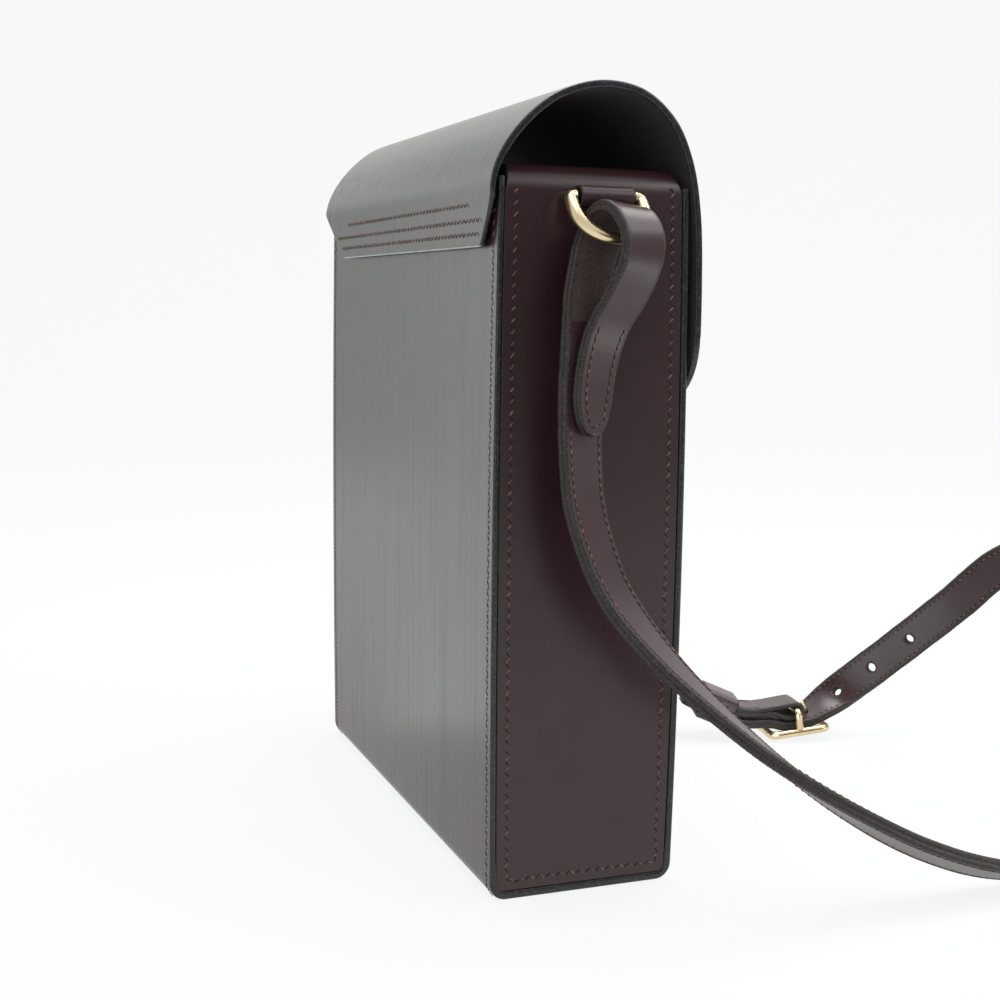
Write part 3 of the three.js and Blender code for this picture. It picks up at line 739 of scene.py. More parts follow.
MAKERS = {
    "bridle leather": leather_material,
    "strap leather": leather_material,
    "satin brass": brass_material,
    "waxed thread": thread_material,
    "awl hole": awl_shade_material,
}


def stock(name):
    """The named material, made on first use."""
    if name in bpy.data.materials:
        return bpy.data.materials[name]
    return MAKERS[name](name, settings().finish)


def settle(obj, slot, *nodes):
    """A finished piece rides on the bag and stands for its CAD nodes; the slot is not used."""
    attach(obj, BODY)
    if nodes:
        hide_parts(*nodes)
    return obj


# Stitches

def stitch_tree():
    """Rows of saddle stitches with their awl slits, which are dark lenses of painted shade, laid along the
    edges of a mesh.
    """
    title = "Saddle stitches"
    if title in bpy.data.node_groups:
        return bpy.data.node_groups[title]
    tree = bpy.data.node_groups.new(title, "GeometryNodeTree")
    inputs = {"Geometry": "Geometry", "Pitch": "Float", "Thickness": "Float", "Slant": "Float",
              "Thread": "Material", "Hole": "Material"}
    for label, kind in inputs.items():
        tree.interface.new_socket(label, in_out="INPUT", socket_type="NodeSocket" + kind)
    tree.interface.new_socket("Geometry", in_out="OUTPUT", socket_type="NodeSocketGeometry")
    given = put(tree, "NodeGroupInput").outputs
    result = put(tree, "NodeGroupOutput")

    def add(kind, values=None, **props):
        return put(tree, kind, values, **props).outputs[0]

    def half_sizes(shares):
        lengths = {"X": given["Pitch"], "Y": given["Thickness"], "Z": given["Thickness"]}
        return add("ShaderNodeCombineXYZ", {axis: times(tree, lengths[axis], shares[axis]) for axis in "XYZ"})

    def laid(grain, material, **placing):
        pieces = add("GeometryNodeInstanceOnPoints", {"Points": rows, "Instance": grain, **placing})
        pieces = add("GeometryNodeRealizeInstances", {0: pieces})
        return add("GeometryNodeSetMaterial", {"Geometry": pieces, "Material": material})

    curve = add("GeometryNodeMeshToCurve", {0: given["Geometry"]})
    rows = add("GeometryNodeResampleCurve", {"Curve": curve, "Length": given["Pitch"]}, mode="LENGTH")
    facing = add("GeometryNodeInputNamedAttribute", {"Name": "facing"}, data_type="FLOAT_VECTOR")
    tangent = add("GeometryNodeInputTangent")
    turn = add("FunctionNodeAxesToRotation", {"Primary Axis": facing, "Secondary Axis": tangent},
               primary_axis="Z", secondary_axis="X")
    stray = add("FunctionNodeRandomValue", {"Min": (0, 0, -STRAY), "Max": (0, 0, STRAY), "Seed": 3},
                data_type="FLOAT_VECTOR")
    jitter = add("FunctionNodeRandomValue", {"Min": SMALLEST, "Max": LARGEST, "Seed": 7},
                 data_type="FLOAT_VECTOR")
    euler = add("ShaderNodeCombineXYZ", {"Z": times(tree, given["Slant"], CROSSING)})
    euler = add("ShaderNodeVectorMath", {0: euler, 1: stray}, operation="ADD")
    spin = add("FunctionNodeEulerToRotation", {0: euler})
    slanted = add("FunctionNodeRotateRotation", {"Rotation": turn, "Rotate By": spin}, rotation_space="LOCAL")

    grain = add("GeometryNodeMeshUVSphere", {"Segments": 8, "Rings": 7, "Radius": 1.0})
    grain = add("GeometryNodeTransform", {"Geometry": grain, "Scale": half_sizes(STITCH)})
    grain = add("GeometryNodeSetShadeSmooth", {"Geometry": grain})
    sewn = laid(grain, given["Thread"], Rotation=slanted, Scale=jitter)

    # Awl slits: dark lenses of painted shade that stand in for the shade in each hole
    aside = add("ShaderNodeCombineXYZ", {"X": times(tree, given["Pitch"], 0.5)})
    slit = add("ShaderNodeCombineXYZ", {"Z": given["Slant"]})
    dimple = add("GeometryNodeMeshUVSphere", {"Segments": 8, "Rings": 5, "Radius": 1.0})
    dimple = add("GeometryNodeTransform", {"Geometry": dimple, "Scale": half_sizes(SLIT), "Rotation": slit,
                                           "Translation": aside})
    shaded_slits = laid(dimple, given["Hole"], Rotation=turn)
    both = put(tree, "GeometryNodeJoinGeometry")
    tree.links.new(sewn, both.inputs[0])
    tree.links.new(shaded_slits, both.inputs[0])
    tree.links.new(both.outputs[0], result.inputs[0])
    return tree


def sew(name, slot, rows, strap=False):
    """One mesh of stitches along rows of points and facings, with the body's or the strap's thread."""
    verts, edges, facings = [], [], []
    for points, facing in rows:
        start = len(verts)
        verts.extend(((points + SHIFT) * MM).tolist())
        facings.extend(np.asarray(facing).tolist())
        edges.extend((start + i, start + i + 1) for i in range(len(points) - 1))
    mesh = bpy.data.meshes.new(name + "_rows")
    mesh.from_pydata(verts, edges, [])
    attribute = mesh.attributes.new("facing", "FLOAT_VECTOR", "POINT")
    attribute.data.foreach_set("vector", np.array(facings, np.float32).ravel())
    rows_object = bpy.data.objects.new(name + "_rows", mesh)
    bpy.context.scene.collection.objects.link(rows_object)
    size = settings().sizes
    given = {
        "Pitch": size.strap_pitch if strap else size.pitch,
        "Thickness": size.strap_thread if strap else size.thread,
        "Slant": size.strap_slant if strap else size.slant,
        "Thread": stock("waxed thread"),
        "Hole": stock("awl hole"),
    }
    modifier = rows_object.modifiers.new("Stitches", "NODES")
    modifier.node_group = stitch_tree()
    for item in modifier.node_group.interface.items_tree:
        if item.in_out == "INPUT" and item.name in given:
            modifier[item.identifier] = given[item.name]
    shown = rows_object.evaluated_get(bpy.context.evaluated_depsgraph_get())
    sewn = bpy.data.meshes.new_from_object(shown)
    sewn.name = name
    if not sewn.polygons:
        raise RuntimeError(name + " has no stitches")
    bpy.data.objects.remove(rows_object)
    obj = bpy.data.objects.new(name, sewn)
    bpy.context.scene.collection.objects.link(obj)
    return settle(obj, slot)


# Strap

class Lie:
    """Where a fitting lies: its centre, and the directions along the strap, across it and up from it."""

    def __init__(self, centre, run, lean):
        self.centre = np.array(centre, float)
        self.along = unit(np.array(run, float))
        level = unit(np.cross(self.along, (0, 0, 1)))
        turn = math.radians(lean)
        self.across = level * math.cos(turn) + np.cross(self.along, level) * math.sin(turn)
        self.up = np.cross(self.across, self.along)

    def at(self, a, w, u):
        """The point a along the strap, w across it and u up from it."""
        return self.centre + self.along * a + self.across * w + self.up * u

    def row(self, a, u, tilt=0.0):
        """A row of a strap's route: its place, and the direction that the outer face looks."""
        turn = math.radians(tilt)
        return (*self.at(a, 0, u), *(self.up * math.cos(turn) - self.across * math.sin(turn)))


AT_BUCKLE = Lie(centre=(40, -190.6, 4.6), run=(0.201, 0.971, -0.126), lean=1.5)
AT_KEEPER = Lie(centre=(49.8, -151.2, 16.2), run=(0.33, 0.88, 0.38), lean=2)
BAR = BUCKLE["length"] / 2
LAYER = (STRAP["thickness"] + STRAP["layer_gap"]) / 2
OVER_BAR = BUCKLE["wire"] + BUCKLE["bar_clear"] + STRAP["thickness"] / 2
UNDER_BRIDGE = BUCKLE["rise"] - BUCKLE["wire"] - 3 * GAP - STRAP["ply"] - STRAP["thickness"] / 2
SHORT_START = OVER_BAR + 2 * LAYER + 1
# The long strap's way through the buckle: distance along it, height and tilt
THROUGH_BUCKLE = (
    (-BAR, OVER_BAR + 2.6, 20),
    (-8, UNDER_BRIDGE + 1.6, 8),
    (0, UNDER_BRIDGE, 0),
    (7, UNDER_BRIDGE + 0.3, 0),
    (BAR - 0.5, OVER_BAR + 0.2, 0),
)
# Distances along the keeper where each strap goes through it
LONG_IN_KEEPER = (-11, 0, 11, 20)
SHORT_IN_KEEPER = (26, 13, 0, -10)


def mirrored(rows):
    return [(-x, y, z, -nx, ny, nz) for x, y, z, nx, ny, nz in rows]


LONG_ROUTE = [
    *HANG_ROWS,
    *LONG_ROWS,
    *[AT_BUCKLE.row(*step) for step in THROUGH_BUCKLE],
    *[AT_KEEPER.row(a, -LAYER) for a in LONG_IN_KEEPER],
]
SHORT_ROUTE = [
    *mirrored(HANG_ROWS),
    *SHORT_ROWS,
    *[AT_KEEPER.row(a, LAYER) for a in SHORT_IN_KEEPER],
    AT_BUCKLE.row(BAR + 3, SHORT_START),
]
# Rows of the long route that have a hole
HOLE_ROWS = (26, 27, 28, 30)


def strap_band(route):
    """The two-ply strap, skived a little at its top, where its end goes on into the turn."""
    rows = spline(route, STEPS["route"])
    band = Band(rows[:, :3], rows[:, 3:], STRAP["width"] / 2, 0, 0)
    skive = 1 - np.clip(band.reach / STRAP["skive_length"], 0, 1)
    band.high = STRAP["thickness"] / 2 - STRAP["skive"] * skive
    band.low = -band.high
    band.halves = band.halves - STRAP["skive_side"] * skive
    return band


def turn_band(side):
    """The strap's end round the ring, narrowing to a blunt tongue."""
    rows = spline(TURN_ROWS if side < 0 else mirrored(TURN_ROWS), STEPS["route"])
    t = np.linspace(0, 1, len(rows))
    left = np.minimum((1 - t) / TONGUE["tip"], 1)
    ease = np.clip((t - 1 + TONGUE["sewn"]) / TONGUE["sewn"], 0, 1)
    narrowing = 1 - TONGUE["narrowing"] * ease**2 * (3 - 2 * ease)
    half = STRAP["width"] / 2 * narrowing * rounded_tip(left, TONGUE["blunt"])
    return Band(rows[:, :3], rows[:, 3:], half, -TONGUE["thickness"] / 2, TONGUE["thickness"] / 2)


def loop_band():
    """The short strap's own leather, carried round the buckle's middle bar."""
    round_bar = BUCKLE["wire"] + GAP + STRAP["ply"] / 2
    join, rise = LOOP["join"], BUCKLE["rise"]
    half = STRAP["ply"] / 2 + LOOP["clear"]
    over, under = SHORT_START + half, SHORT_START - half
    rows = [(join + LOOP["tail"], over + LOOP["spread"]), (join, over)]
    rows.append((join * LOOP["rise_at"], (over + rise + round_bar) / 2))
    for a in np.radians(np.linspace(90, 270, STEPS["loop_bend"])):
        rows.append((round_bar * math.cos(a), rise + round_bar * math.sin(a)))
    rows.append((join * LOOP["sag_at"], rise - round_bar * LOOP["sag"]))
    rows += [(join, under), (join + LOOP["tail"], under - LOOP["spread"])]
    flat = spline(rows, STEPS["loop"], False)
    centres = [AT_BUCKLE.at(a, 0, u) for a, u in flat]
    outs = [AT_BUCKLE.at(u, 0, -a) - AT_BUCKLE.centre for a, u in direction(flat)]
    return Band(centres, outs, STRAP["width"] / 2 - LOOP["narrowing"], -STRAP["ply"] / 2, STRAP["ply"] / 2)


def keeper_band():
    """The keeper's ring round both straps."""
    thick = KEEPER["leather"] / 2
    w = STRAP["width"] / 2 + KEEPER["slack"] + thick
    h = LAYER + STRAP["thickness"] / 2 + KEEPER["slack"] + thick
    ring = bent([(-w, -h), (w, -h), (w, h), (-w, h)], KEEPER["corner"], True)
    centres = [AT_KEEPER.at(KEEPER["centre"], x, u) for x, u in ring]
    outs = [AT_KEEPER.at(0, u, -x) - AT_KEEPER.centre for x, u in direction(ring, True)]
    return Band(centres, outs, KEEPER["length"] / 2, -thick, thick, True)


def tongue_row(band, from_reach):
    """The U of stitches round the sewn tongue."""
    inset, lift = TONGUE_ROW["inset"], TONGUE_ROW["lift"]
    end = band.reach[-1] - inset * TONGUE_ROW["short"]
    reach = np.linspace(from_reach, end, STEPS["tongue_row"])
    x = np.maximum(band.at(reach)[3] - inset, TONGUE_ROW["least"])
    down, facing_down = band.row(reach, -x, True, lift)
    up, facing_up = band.row(reach[::-1], x[::-1], True, lift)
    return np.vstack([down, up]), np.vstack([facing_down, facing_up])


def strap_rows(band, turn, end_room):
    """Stitches of one strap: round its tongue, and along both edges of both faces."""
    over = turn.first(turn.centres[:, 2] > TONGUE["over"])
    rows = [tongue_row(turn, turn.first(turn.centres[:, 2] < TONGUE["sewn_from"], over))]
    edge = STRAP["width"] / 2 - STRAP_ROW["inset"]
    for x in (-edge, edge):
        for top, start in ((True, STRAP_ROW["below_tongue"]), (False, STRAP_ROW["start"])):
            reach = np.linspace(start, band.reach[-1] - end_room, STEPS["strap_row"])
            rows.append(band.row(reach, x, top, STRAP_ROW["lift"]))
    return rows


def punch(obj, band):
    """Cuts the strap's holes through a finished strap mesh."""
    sides = HOLE["sides"]
    verts, faces = [], []
    for s in (row * STEPS["route"] for row in HOLE_ROWS):
        centre, out, across = band.centres[s], band.out[s], band.across[s]
        run = np.cross(across, out)
        start = len(verts)
        for end in (-HOLE["reach"], HOLE["reach"]):
            for a in circle(sides):
                verts.append(centre + HOLE["radius"] * (np.cos(a) * across + np.sin(a) * run) + out * end)
        faces += tube_caps(2, sides, start)
        faces += tube_faces(2, sides, False, start)
    tool = piece_from("punch", verts, faces, stock("strap leather"), False)
    cut = obj.modifiers.new("Punch", "BOOLEAN")
    cut.object = tool
    cut.operation = "DIFFERENCE"
    cut.solver = "EXACT"
    shown = obj.evaluated_get(bpy.context.evaluated_depsgraph_get())
    mesh = bpy.data.meshes.new_from_object(shown)
    clean = bmesh.new()
    clean.from_mesh(mesh)
    bmesh.ops.remove_doubles(clean, verts=clean.verts, dist=WELD)
    bmesh.ops.dissolve_degenerate(clean, edges=clean.edges, dist=WELD)
    clean.to_mesh(mesh)
    clean.free()
    obj.modifiers.remove(cut)
    old = obj.data
    obj.data = mesh
    mesh.name = obj.name
    bpy.data.meshes.remove(old)
    bpy.data.objects.remove(tool)


class SATCHEL_OT_straps(bpy.types.Operator):
    """Both straps, their turned ends, the buckle's loop and the keeper"""
    bl_idname = "satchel.straps"
    bl_label = "Straps"

    def execute(self, context):
        for word, side, route in (("long", -1, LONG_ROUTE), ("short", 1, SHORT_ROUTE)):
            self.strap(word, side, route)
        return {"FINISHED"}

    def strap(self, word, side, route):
        leather = stock("strap leather")
        band = strap_band(route)
        if word == "long":
            left = np.minimum((band.reach[-1] - band.reach) / STRAP["tip"], 1)
            band.halves = band.halves * rounded_tip(left, STRAP["blunt"])
        strap = leather_band("strap_" + word + "_leather", band, leather, **CUT["strap"])
        if word == "long":
            punch(strap, band)
        settle(strap, "leather_strap", "strap_" + word)
        turn = turn_band(side)
        tongue = leather_band("strap_" + word + "_tongue", turn, leather, **CUT["tongue"])
        settle(tongue, "leather_strap", "strap_" + word + "_turn")
        rows = strap_rows(band, turn, STRAP_ROW_END[word])
        stitches = sew("strap_" + word + "_stitches", "leather_strap", rows, True)
        with_pieces = [tongue, stitches]
        if word == "short":
            with_pieces += self.buckle_end(leather)

    def buckle_end(self, leather):
        loop = leather_band("buckle_loop_leather", loop_band(), leather, **CUT["loop"])
        settle(loop, "leather_strap", "buckle_loop")
        keeper = leather_band("keeper_leather", keeper_band(), leather, **CUT["keeper"])
        settle(keeper, "leather_strap", "keeper")
        bpy.ops.satchel.buckle()
        return [loop, keeper, bpy.data.objects["buckle_brass"], bpy.data.objects["prong_brass"]]


class SATCHEL_OT_buckle(bpy.types.Operator):
    """The brass buckle's frame with its raised middle bar, and the prong"""
    bl_idname = "satchel.buckle"
    bl_label = "Buckle"

    def execute(self, context):
        brass = stock("satin brass")
        w, rise = BUCKLE["width"] / 2 - BUCKLE["wire"], BUCKLE["rise"]
        outline = [AT_BUCKLE.at(a, y, 0) for a, y in ((BAR, w), (-BAR, w), (-BAR, -w), (BAR, -w))]
        arch = [AT_BUCKLE.at(0, y, u) for y, u in ((w, 0), (w, rise), (-w, rise), (-w, 0))]
        rim = (bent(outline, BUCKLE["corner"], True), BUCKLE["wire"], True)
        bridge = (bent(arch, BUCKLE["bridge_corner"], False), BUCKLE["bridge_wire"], False)
        settle(wire_mesh("buckle_brass", [rim, bridge], brass, SIDES["buckle"]), "brass", "buckle_frame")
        start = BUCKLE["wire"] + GAP + STRAP["ply"] + GAP + BUCKLE["prong"]
        path = spline([AT_BUCKLE.at(a - start, 0, rise + u) for a, u in PRONG_BEND], STEPS["prong"])
        taper = BUCKLE["prong"] * np.linspace(1.0, BUCKLE["prong_tip"], len(path))
        prong = wire_mesh("prong_brass", [(path, taper, False)], brass, SIDES["prong"])
        settle(prong, "brass", "buckle_prong")
        return {"FINISHED"}


# Body

def panel_y(panel, z):
    """Depth of the back or front panel's outer face at a height."""
    t = (np.asarray(z, float) - BAG["corner"]) / (BAG["height"] - BAG["corner"])
    return panel["side"] * (BAG["depth"] / 2 + panel["lean"] * t + panel["bow"] * 4 * t * (1 - t))


def wrap_band():
    """The wrap from the top of the back, round the base, to the top of the front."""
    r = BAG["corner"]
    flat = BAG["depth"] / 2 - r
    back_z = np.linspace(BAG["height"], r, STEPS["panel"])
    front_z = np.linspace(r, BAG["height"] - BAG["front_drop"], STEPS["panel"])
    bend = quarter(STEPS["base_bend"])
    points = list(zip(panel_y(BACK, back_z), back_z))
    points += [(flat + r * math.cos(a), r - r * math.sin(a)) for a in bend[1:]]
    points += [(y, 0) for y in np.linspace(flat, -flat, STEPS["base"])[1:-1]]
    points += [(-flat - r * math.sin(a), r - r * math.cos(a)) for a in bend]
    points += list(zip(panel_y(FRONT, front_z), front_z))[1:]
    points = [(0, y, z) for y, z in points]
    band = Band(points, planar_outs(points, (1, 0, 0), 1), BAG["width"] / 2, 0, 0)
    thin = np.where(band.centres[:, 1] > 0, WRAP["back"], WRAP["front"])
    share = np.clip(band.centres[:, 2] / WRAP["thin_over"] - WRAP["thin_from"], 0, 1)
    band.low = -(WRAP["base"] + (thin - WRAP["base"]) * share)
    return band


def gusset_band(side):
    """A gusset from the base up its face, and over into the folded ear."""
    face = BAG["width"] / 2 - GUSSET["inset"]
    floor = WRAP["base"] + GUSSET["side_gap"]
    inner = BAG["corner"] - WRAP["base"]
    start, radius = GUSSET["fold_start"], GUSSET["fold_radius"]
    narrowing, corner = EAR["narrowing"], EAR["corner"]
    centres, halves = [], []

    def add(x, z, shrink):
        level = min(z, BAG["height"])
        back = panel_y(BACK, level) - WRAP["back"] - GUSSET["side_gap"] - shrink
        front = panel_y(FRONT, level) + WRAP["front"] + GUSSET["front_gap"] + shrink
        centres.append((side * x, (back + front) / 2, z))
        halves.append((back - front) / 2)

    for a in quarter(STEPS["gusset_corner"]):
        add(face, floor + inner * (1 - math.cos(a)), inner * (1 - math.sin(a)))
    for z in np.linspace(floor + inner, start, STEPS["gusset"])[1:]:
        add(face, z, 0)
    for t in np.linspace(0, 1, STEPS["fold"])[1:]:
        bend = math.radians(90 * t)
        add(face - radius * (1 - math.cos(bend)), start + radius * math.sin(bend), narrowing * t)
    end = face - radius - EAR["depth"]
    for a in quarter(STEPS["ear"]):
        add(end + corner * (1 - math.sin(a)), start + radius, narrowing + corner * (1 - math.cos(a)))
    return Band(centres, planar_outs(centres, (0, 1, 0), side), halves, -GUSSET["leather"], 0)


def round_corner(reach, rise, r):
    """Reach of a straight side, less what a round corner takes away at a height above the hem."""
    return reach if rise >= r else reach - r + math.sqrt(max(r * r - (r - rise) ** 2, 0))


def flap_reach(y, z, side):
    """How far the flap goes to one side; its sewn end is cut back, further on the far side."""
    full = FLAP["width"] / 2
    if y < 0:
        return round_corner(full, z - FLAP_ROWS[-1][1], FLAP["hem_corner"])
    rise = z - FLAP_ROWS[0][1]
    sewn = SEWN_END[side]
    straight = sewn["reach"] + (full - sewn["reach"]) * min(max(rise, 0) / sewn["taper"], 1)
    return round_corner(straight, rise, FLAP["sewn_corner"])


def flap_band():
    """The flap from its sewn end on the back, over the arch, to its hem in front."""
    hem_y, hem_z = FLAP_ROWS[-1]
    hem_top = hem_z + FLAP["hem_corner"] + FLAP["hem_clear"]
    line = [(y, z) for y, z in spline(FLAP_ROWS, STEPS["flap"], False) if y > 0 or z > hem_top]
    line += [(hem_y, hem_z + FLAP["hem_corner"] * (1 - t) ** 2) for t in np.linspace(0, 1, STEPS["hem"])]
    points = np.array([(0, y, z) for y, z in line])
    near, far = (np.array([flap_reach(y, z, side) for y, z in line]) for side in (-1, 1))
    band = Band(points, planar_outs(points, (1, 0, 0), -1), (near + far) / 2, -FLAP["leather"], 0)
    band.centres[:, 0] = (far - near) / 2
    share = np.clip(band.reach / FLAP["thin_over"] - FLAP["thin_from"], 0, 1)
    band.low = -FLAP["skived"] - (FLAP["leather"] - FLAP["skived"]) * share
    return band


class SATCHEL_OT_body(bpy.types.Operator):
    """The wrap that makes the back, base and front"""
    bl_idname = "satchel.body"
    bl_label = "Body"

    def execute(self, context):
        band = wrap_band()
        body = leather_band("body_leather", band, stock("bridle leather"), **CUT["body"])
        settle(body, "leather_body", "body_wrap")
        inset = BAG["width"] / 2 - settings().sizes.row_inset / MM - BODY_ROW["rim"]
        _, y, z = band.centres.T
        base = BODY_ROW["base"]
        down = (BODY_ROW["end"], band.first(z < base))
        up = (band.first((y < 0) & (z > base)), band.reach[-1] - BODY_ROW["end"])
        rows = []
        for begin, end in (down, up):
            reach = np.linspace(begin, end, STEPS["body_row"])
            for x in (-inset, inset):
                rows.append(band.row(reach, x, True, BODY_ROW["lift"]))
        sew("body_stitches", "leather_body", rows)
        return {"FINISHED"}


class SATCHEL_OT_gussets(bpy.types.Operator):
    """The two gussets with their folded ears"""
    bl_idname = "satchel.gussets"
    bl_label = "Gussets"

    def execute(self, context):
        inset, lift = settings().sizes.row_inset / MM, BODY_ROW["lift"]
        leather = stock("bridle leather")
        for side, word in ((-1, "near"), (1, "far")):
            band = gusset_band(side)
            gusset = leather_band("gusset_" + word + "_leather", band, leather, **CUT["gusset"])
            settle(gusset, "leather_body", "gusset_" + word)
            up = np.linspace(inset, band.first(band.centres[:, 2] > GUSSET["row_top"]), STEPS["gusset_row"])
            half = band.at(up)[3] - inset
            across = np.linspace(half[0], -half[0], STEPS["gusset_base"])[1:-1]
            parts = (
                band.row(up[::-1], half[::-1], True, lift),
                band.row(np.full(len(across), inset), across, True, lift),
                band.row(up, -half, True, lift),
            )
            row = tuple(np.vstack(columns) for columns in zip(*parts))
            sew("gusset_" + word + "_stitches", "leather_body", [row])
        return {"FINISHED"}


class SATCHEL_OT_flap(bpy.types.Operator):
    """The arched flap and the rows that sew it to the back"""
    bl_idname = "satchel.flap"
    bl_label = "Flap"

    def execute(self, context):
        band = flap_band()
        flap = leather_band("flap_leather", band, stock("bridle leather"), **CUT["flap"])
        settle(flap, "leather_body", "flap")
        steps = STEPS["flap_row"]
        back = slice(0, FLAP_BACK_STATIONS)
        rows = []
        for z, near, far in SEWN_ROWS:
            reach = np.interp(z, band.centres[back, 2], band.reach[back])
            x = np.linspace(-near, far, steps) - band.at(reach)[0][0]
            rows.append(band.row(np.full(steps, reach), x, True, BODY_ROW["lift"]))
        sew("flap_stitches", "leather_body", rows)
        return {"FINISHED"}


class SATCHEL_OT_fittings(bpy.types.Operator):
    """Chapes, D-rings and the closing stud"""
    bl_idname = "satchel.fittings"
    bl_label = "Fittings"

    def execute(self, context):
        brass = stock("satin brass")
        face = BAG["width"] / 2 - GUSSET["inset"]
        bar_x = face + GAP + CHAPE["leather"] + GAP + RING["bar"]
        for side, word in ((-1, "near"), (1, "far")):
            self.chape(side, word, face, bar_x)
            self.ring(side, word, bar_x, brass)
        self.stud(brass)
        return {"FINISHED"}

    def chape(self, side, word, face, bar_x):
        thick = CHAPE["leather"] / 2
        middle = RING["bar"] + GAP + thick
        line = [(face + CHAPE["stand"], -middle)]
        for a in np.radians(np.linspace(-90, 90, STEPS["chape"])):
            line.append((bar_x + middle * math.cos(a), middle * math.sin(a)))
        line.append((face + CHAPE["stand"], middle))
        points = [(side * x, CHAPE["y"], RING["z"] + rise) for x, rise in line]
        band = Band(points, planar_outs(points, (0, 1, 0), side), CHAPE["length"] / 2, -thick, thick)
        roll = leather_band("chape_" + word + "_leather", band, stock("strap leather"), **CUT["chape"])
        settle(roll, "leather_body", "chape_" + word)

    def ring(self, side, word, bar_x, brass):
        reach, leg, knee, corner = (RING[key] for key in ("reach", "leg", "knee", "corner"))
        bar = [(y, 0.0, RING["bar"]) for y in np.linspace(corner - reach, reach - corner, STEPS["bar"])]
        bend = bent([(reach - corner, 0), (reach, 0), (reach, corner)], RING["bend"], False)[1:-1]
        leg_line = [*bend, *((reach, d) for d in np.linspace(RING["leg_start"], leg, STEPS["leg"]))]
        bow = []
        for a in np.linspace(0, math.pi, STEPS["bow"])[1:-1]:
            wire = RING["wire"] + (knee - RING["wire"]) * math.cos(a) ** 2
            bow.append((reach * math.cos(a), leg + reach * math.sin(a), wire))
        down = [(y, d, knee) for y, d in leg_line]
        back = [(-y, d, knee) for y, d in reversed(leg_line)]
        y, d, radii = np.array([*bar, *down, *bow, *back]).T
        tilt = math.radians(RING["tilt"])
        x = side * (bar_x + d * math.sin(tilt))
        path = np.stack([x, RING["y"] + y, RING["z"] - d * math.cos(tilt)], 1)
        ring = wire_mesh("d_ring_" + word + "_brass", [(path, radii, True)], brass, SIDES["ring"])
        settle(ring, "brass", "d_ring_" + word)

    def stud(self, brass):
        post, ball, foot, sides = STUD["post"], STUD["ball"], STUD["foot_radius"], SIDES["stud"]
        base = float(panel_y(FRONT, STUD["height"]))
        neck = base - FLAP_ROWS[-1][0] + GAP
        middle = neck + math.sqrt(ball**2 - post**2)
        inside = -BAG["leather"] - GAP
        sole = inside - STUD["foot"]
        chamfer, rim = STUD["chamfer"], STUD["rim"]
        profile = [(STUD["pole"], sole), (foot - chamfer, sole), (foot, sole + chamfer),
                   (foot, inside - rim), (foot - rim, inside), (post, inside), (post, neck)]
        for a in np.linspace(math.asin(post / ball), math.pi, STEPS["ball"])[1:-1]:
            profile.append((ball * math.sin(a), middle - ball * math.cos(a)))
        profile.append((STUD["pole"], middle + ball))
        verts = []
        for r, h in profile:
            verts += [(r * math.cos(a), base - h, STUD["height"] + r * math.sin(a)) for a in circle(sides)]
        faces = [(a, d, c, b) for a, b, c, d in tube_faces(len(profile), sides)]
        faces += [cap[::-1] for cap in tube_caps(len(profile), sides)]
        settle(piece_from("closing_stud_brass", verts, faces, brass), "brass", "closing_stud")


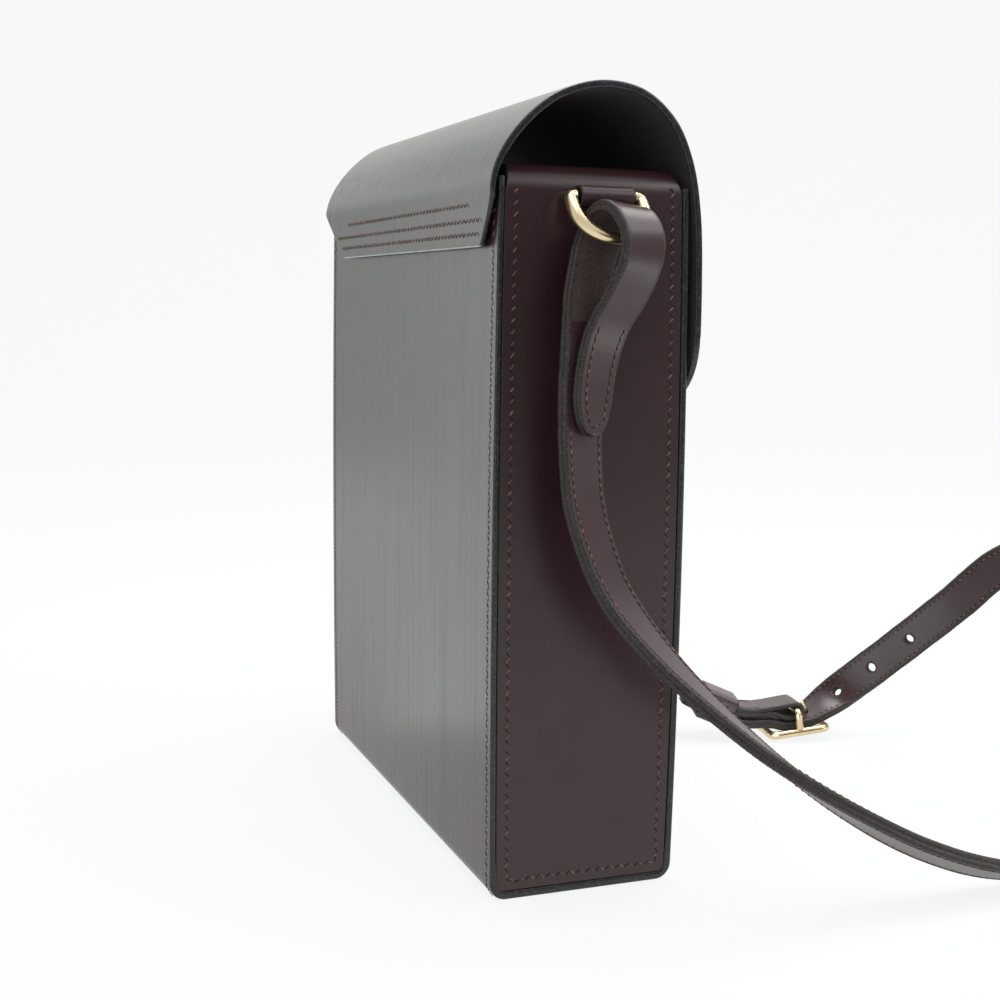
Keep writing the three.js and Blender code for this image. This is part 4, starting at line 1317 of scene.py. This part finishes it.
class SATCHEL_OT_stage(bpy.types.Operator):
    """Camera, pale floor and soft studio light"""
    bl_idname = "satchel.stage"
    bl_label = "Stage"

    def execute(self, context):
        scene = context.scene
        back = self.camera(scene)
        floor = self.floor(back)
        [self.card(*row) for row in CARDS]
        self.sky(scene)
        for row in LIGHTS:
            self.light(scene, *row)
        scene.view_settings.view_transform = "Standard"
        return {"FINISHED"}

    def camera(self, scene):
        """The camera; gives the direction from what it sees back to it."""
        a, e, roll = (math.radians(CAMERA[key]) for key in ("azimuth", "elevation", "roll"))
        back = Vector((math.sin(a) * math.cos(e), -math.cos(a) * math.cos(e), math.sin(e)))
        right = (-back).cross(Vector((0, 0, 1))).normalized()
        up = right.cross(-back)
        turned = right * math.cos(roll) + up * math.sin(roll)
        upright = up * math.cos(roll) - right * math.sin(roll)
        camera = bpy.data.objects.new("Camera", bpy.data.cameras.new("Camera"))
        camera.data.lens = CAMERA["lens"]
        camera.data.sensor_width = CAMERA["sensor"]
        camera.data.clip_start = CAMERA["nearest"]
        turn = Matrix((turned, upright, back)).transposed().to_4x4()
        place = Vector(np.array(CAMERA["place"]) + SHIFT) * MM
        camera.matrix_world = Matrix.Translation(place) @ turn
        scene.collection.objects.link(camera)
        scene.camera = camera
        return back

    def floor(self, back):
        """A sheet of pale paper that runs away from the camera and turns up behind the bag."""
        paper, tree, shader = new_material("pale paper")
        feed(tree, shader, {
            "Base Color": mix_colour(tree, noise(tree, object_place(tree), "paper"), *PAPER_TONES),
            "Roughness": 0.9,
            "Specular IOR Level": 0.0,
            "Emission Color": PAPER_GLOW_COLOUR,
            "Emission Strength": PAPER_GLOW,
        })
        away = np.array([-back.x, -back.y]) / math.hypot(back.x, back.y)
        aside = np.array([-away[1], away[0]])
        turn, bend = SWEEP["turn"], SWEEP["bend"]
        sweep = [(SWEEP["begin"], 0.0)]
        sweep += [(turn + bend * math.sin(t), bend - bend * math.cos(t)) for t in quarter(STEPS["sweep"])]
        sweep.append((turn + bend, SWEEP["top"]))
        verts = []
        for d, h in sweep:
            verts += [(*(away * d + aside * s), h - SWEEP["drop"]) for s in (-SWEEP["half"], SWEEP["half"])]
        return object_from("floor", verts, self.strip(len(sweep)), paper)

    def card(self, name, begin, end, lower, upper, glow):
        """A card bent round the bag, upright or flat, which only shine shows."""
        material, tree, shader = new_material(name)
        feed(tree, shader, {
            "Base Color": (0, 0, 0, 1),
            "Specular IOR Level": 0.0,
            "Emission Color": CARD_COLOUR,
            "Emission Strength": glow,
        })
        behind = put(tree, "ShaderNodeNewGeometry").outputs["Backfacing"]
        clear = put(tree, "ShaderNodeBsdfTransparent").outputs[0]
        either = put(tree, "ShaderNodeMixShader", {0: behind, 1: shader.outputs[0], 2: clear}).outputs[0]
        tree.links.new(either, tree.nodes["Material Output"].inputs["Surface"])
        near = -BAG["width"] / 2 * MM
        verts = []
        for a in np.radians(np.linspace(begin, end, STEPS["card"])):
            verts += [(near - away * math.cos(a), away * math.sin(a), z) for away, z in (lower, upper)]
        card = object_from(name, verts, self.strip(STEPS["card"]), material)
        for ray in ("camera", "diffuse", "shadow", "transmission", "volume_scatter"):
            setattr(card, "visible_" + ray, False)
        return card

    def strip(self, pairs):
        """Quads of a strip that is two points wide."""
        return [(2 * i, 2 * i + 2, 2 * i + 3, 2 * i + 1) for i in range(pairs - 1)]

    def sky(self, scene):
        world = bpy.data.worlds.new("Studio")
        world.use_nodes = True
        tree = world.node_tree
        seen = put(tree, "ShaderNodeLightPath").outputs["Is Camera Ray"]
        feed(tree, tree.nodes["Background"], {"Color": mix_colour(tree, seen, *SKY_TONES)})
        scene.world = world

    def light(self, scene, name, place, target, sides, power):
        lamp = bpy.data.lights.new(name, "AREA")
        lamp.shape = "RECTANGLE"
        lamp.size, lamp.size_y = sides
        lamp.energy = power
        light = bpy.data.objects.new(name, lamp)
        aim = (Vector(target) - Vector(place)).to_track_quat("-Z", "Y")
        light.matrix_world = Matrix.Translation(Vector(place)) @ aim.to_matrix().to_4x4()
        scene.collection.objects.link(light)


OPERATORS = (SATCHEL_OT_stage, SATCHEL_OT_straps, SATCHEL_OT_buckle, SATCHEL_OT_body, SATCHEL_OT_gussets,
             SATCHEL_OT_flap, SATCHEL_OT_fittings)


class SATCHEL_PT_panel(bpy.types.Panel):
    """The satchel's pieces, sizes and colours"""
    bl_label = "Satchel"
    bl_idname = "SATCHEL_PT_panel"
    bl_space_type = "VIEW_3D"
    bl_region_type = "UI"
    bl_category = "Satchel"

    def draw(self, context):
        for operator in OPERATORS:
            self.layout.operator(operator.bl_idname)
        for group in (context.scene.satchel.sizes, context.scene.satchel.finish):
            for key in group.bl_rna.properties.keys():
                if key not in ("rna_type", "name"):
                    self.layout.prop(group, key)


CLASSES = (SatchelSizes, SatchelFinish, SatchelSettings, *OPERATORS, SATCHEL_PT_panel)


def register():
    for cls in CLASSES:
        bpy.utils.register_class(cls)
    bpy.types.Scene.satchel = PointerProperty(type=SatchelSettings)


def unregister():
    del bpy.types.Scene.satchel
    for cls in reversed(CLASSES):
        bpy.utils.unregister_class(cls)


def main():
    register()
    bpy.ops.satchel.stage()
    bpy.ops.satchel.straps()
    bpy.ops.satchel.body()
    bpy.ops.satchel.gussets()
    bpy.ops.satchel.flap()
    bpy.ops.satchel.fittings()


if __name__ == "__main__":
    main()
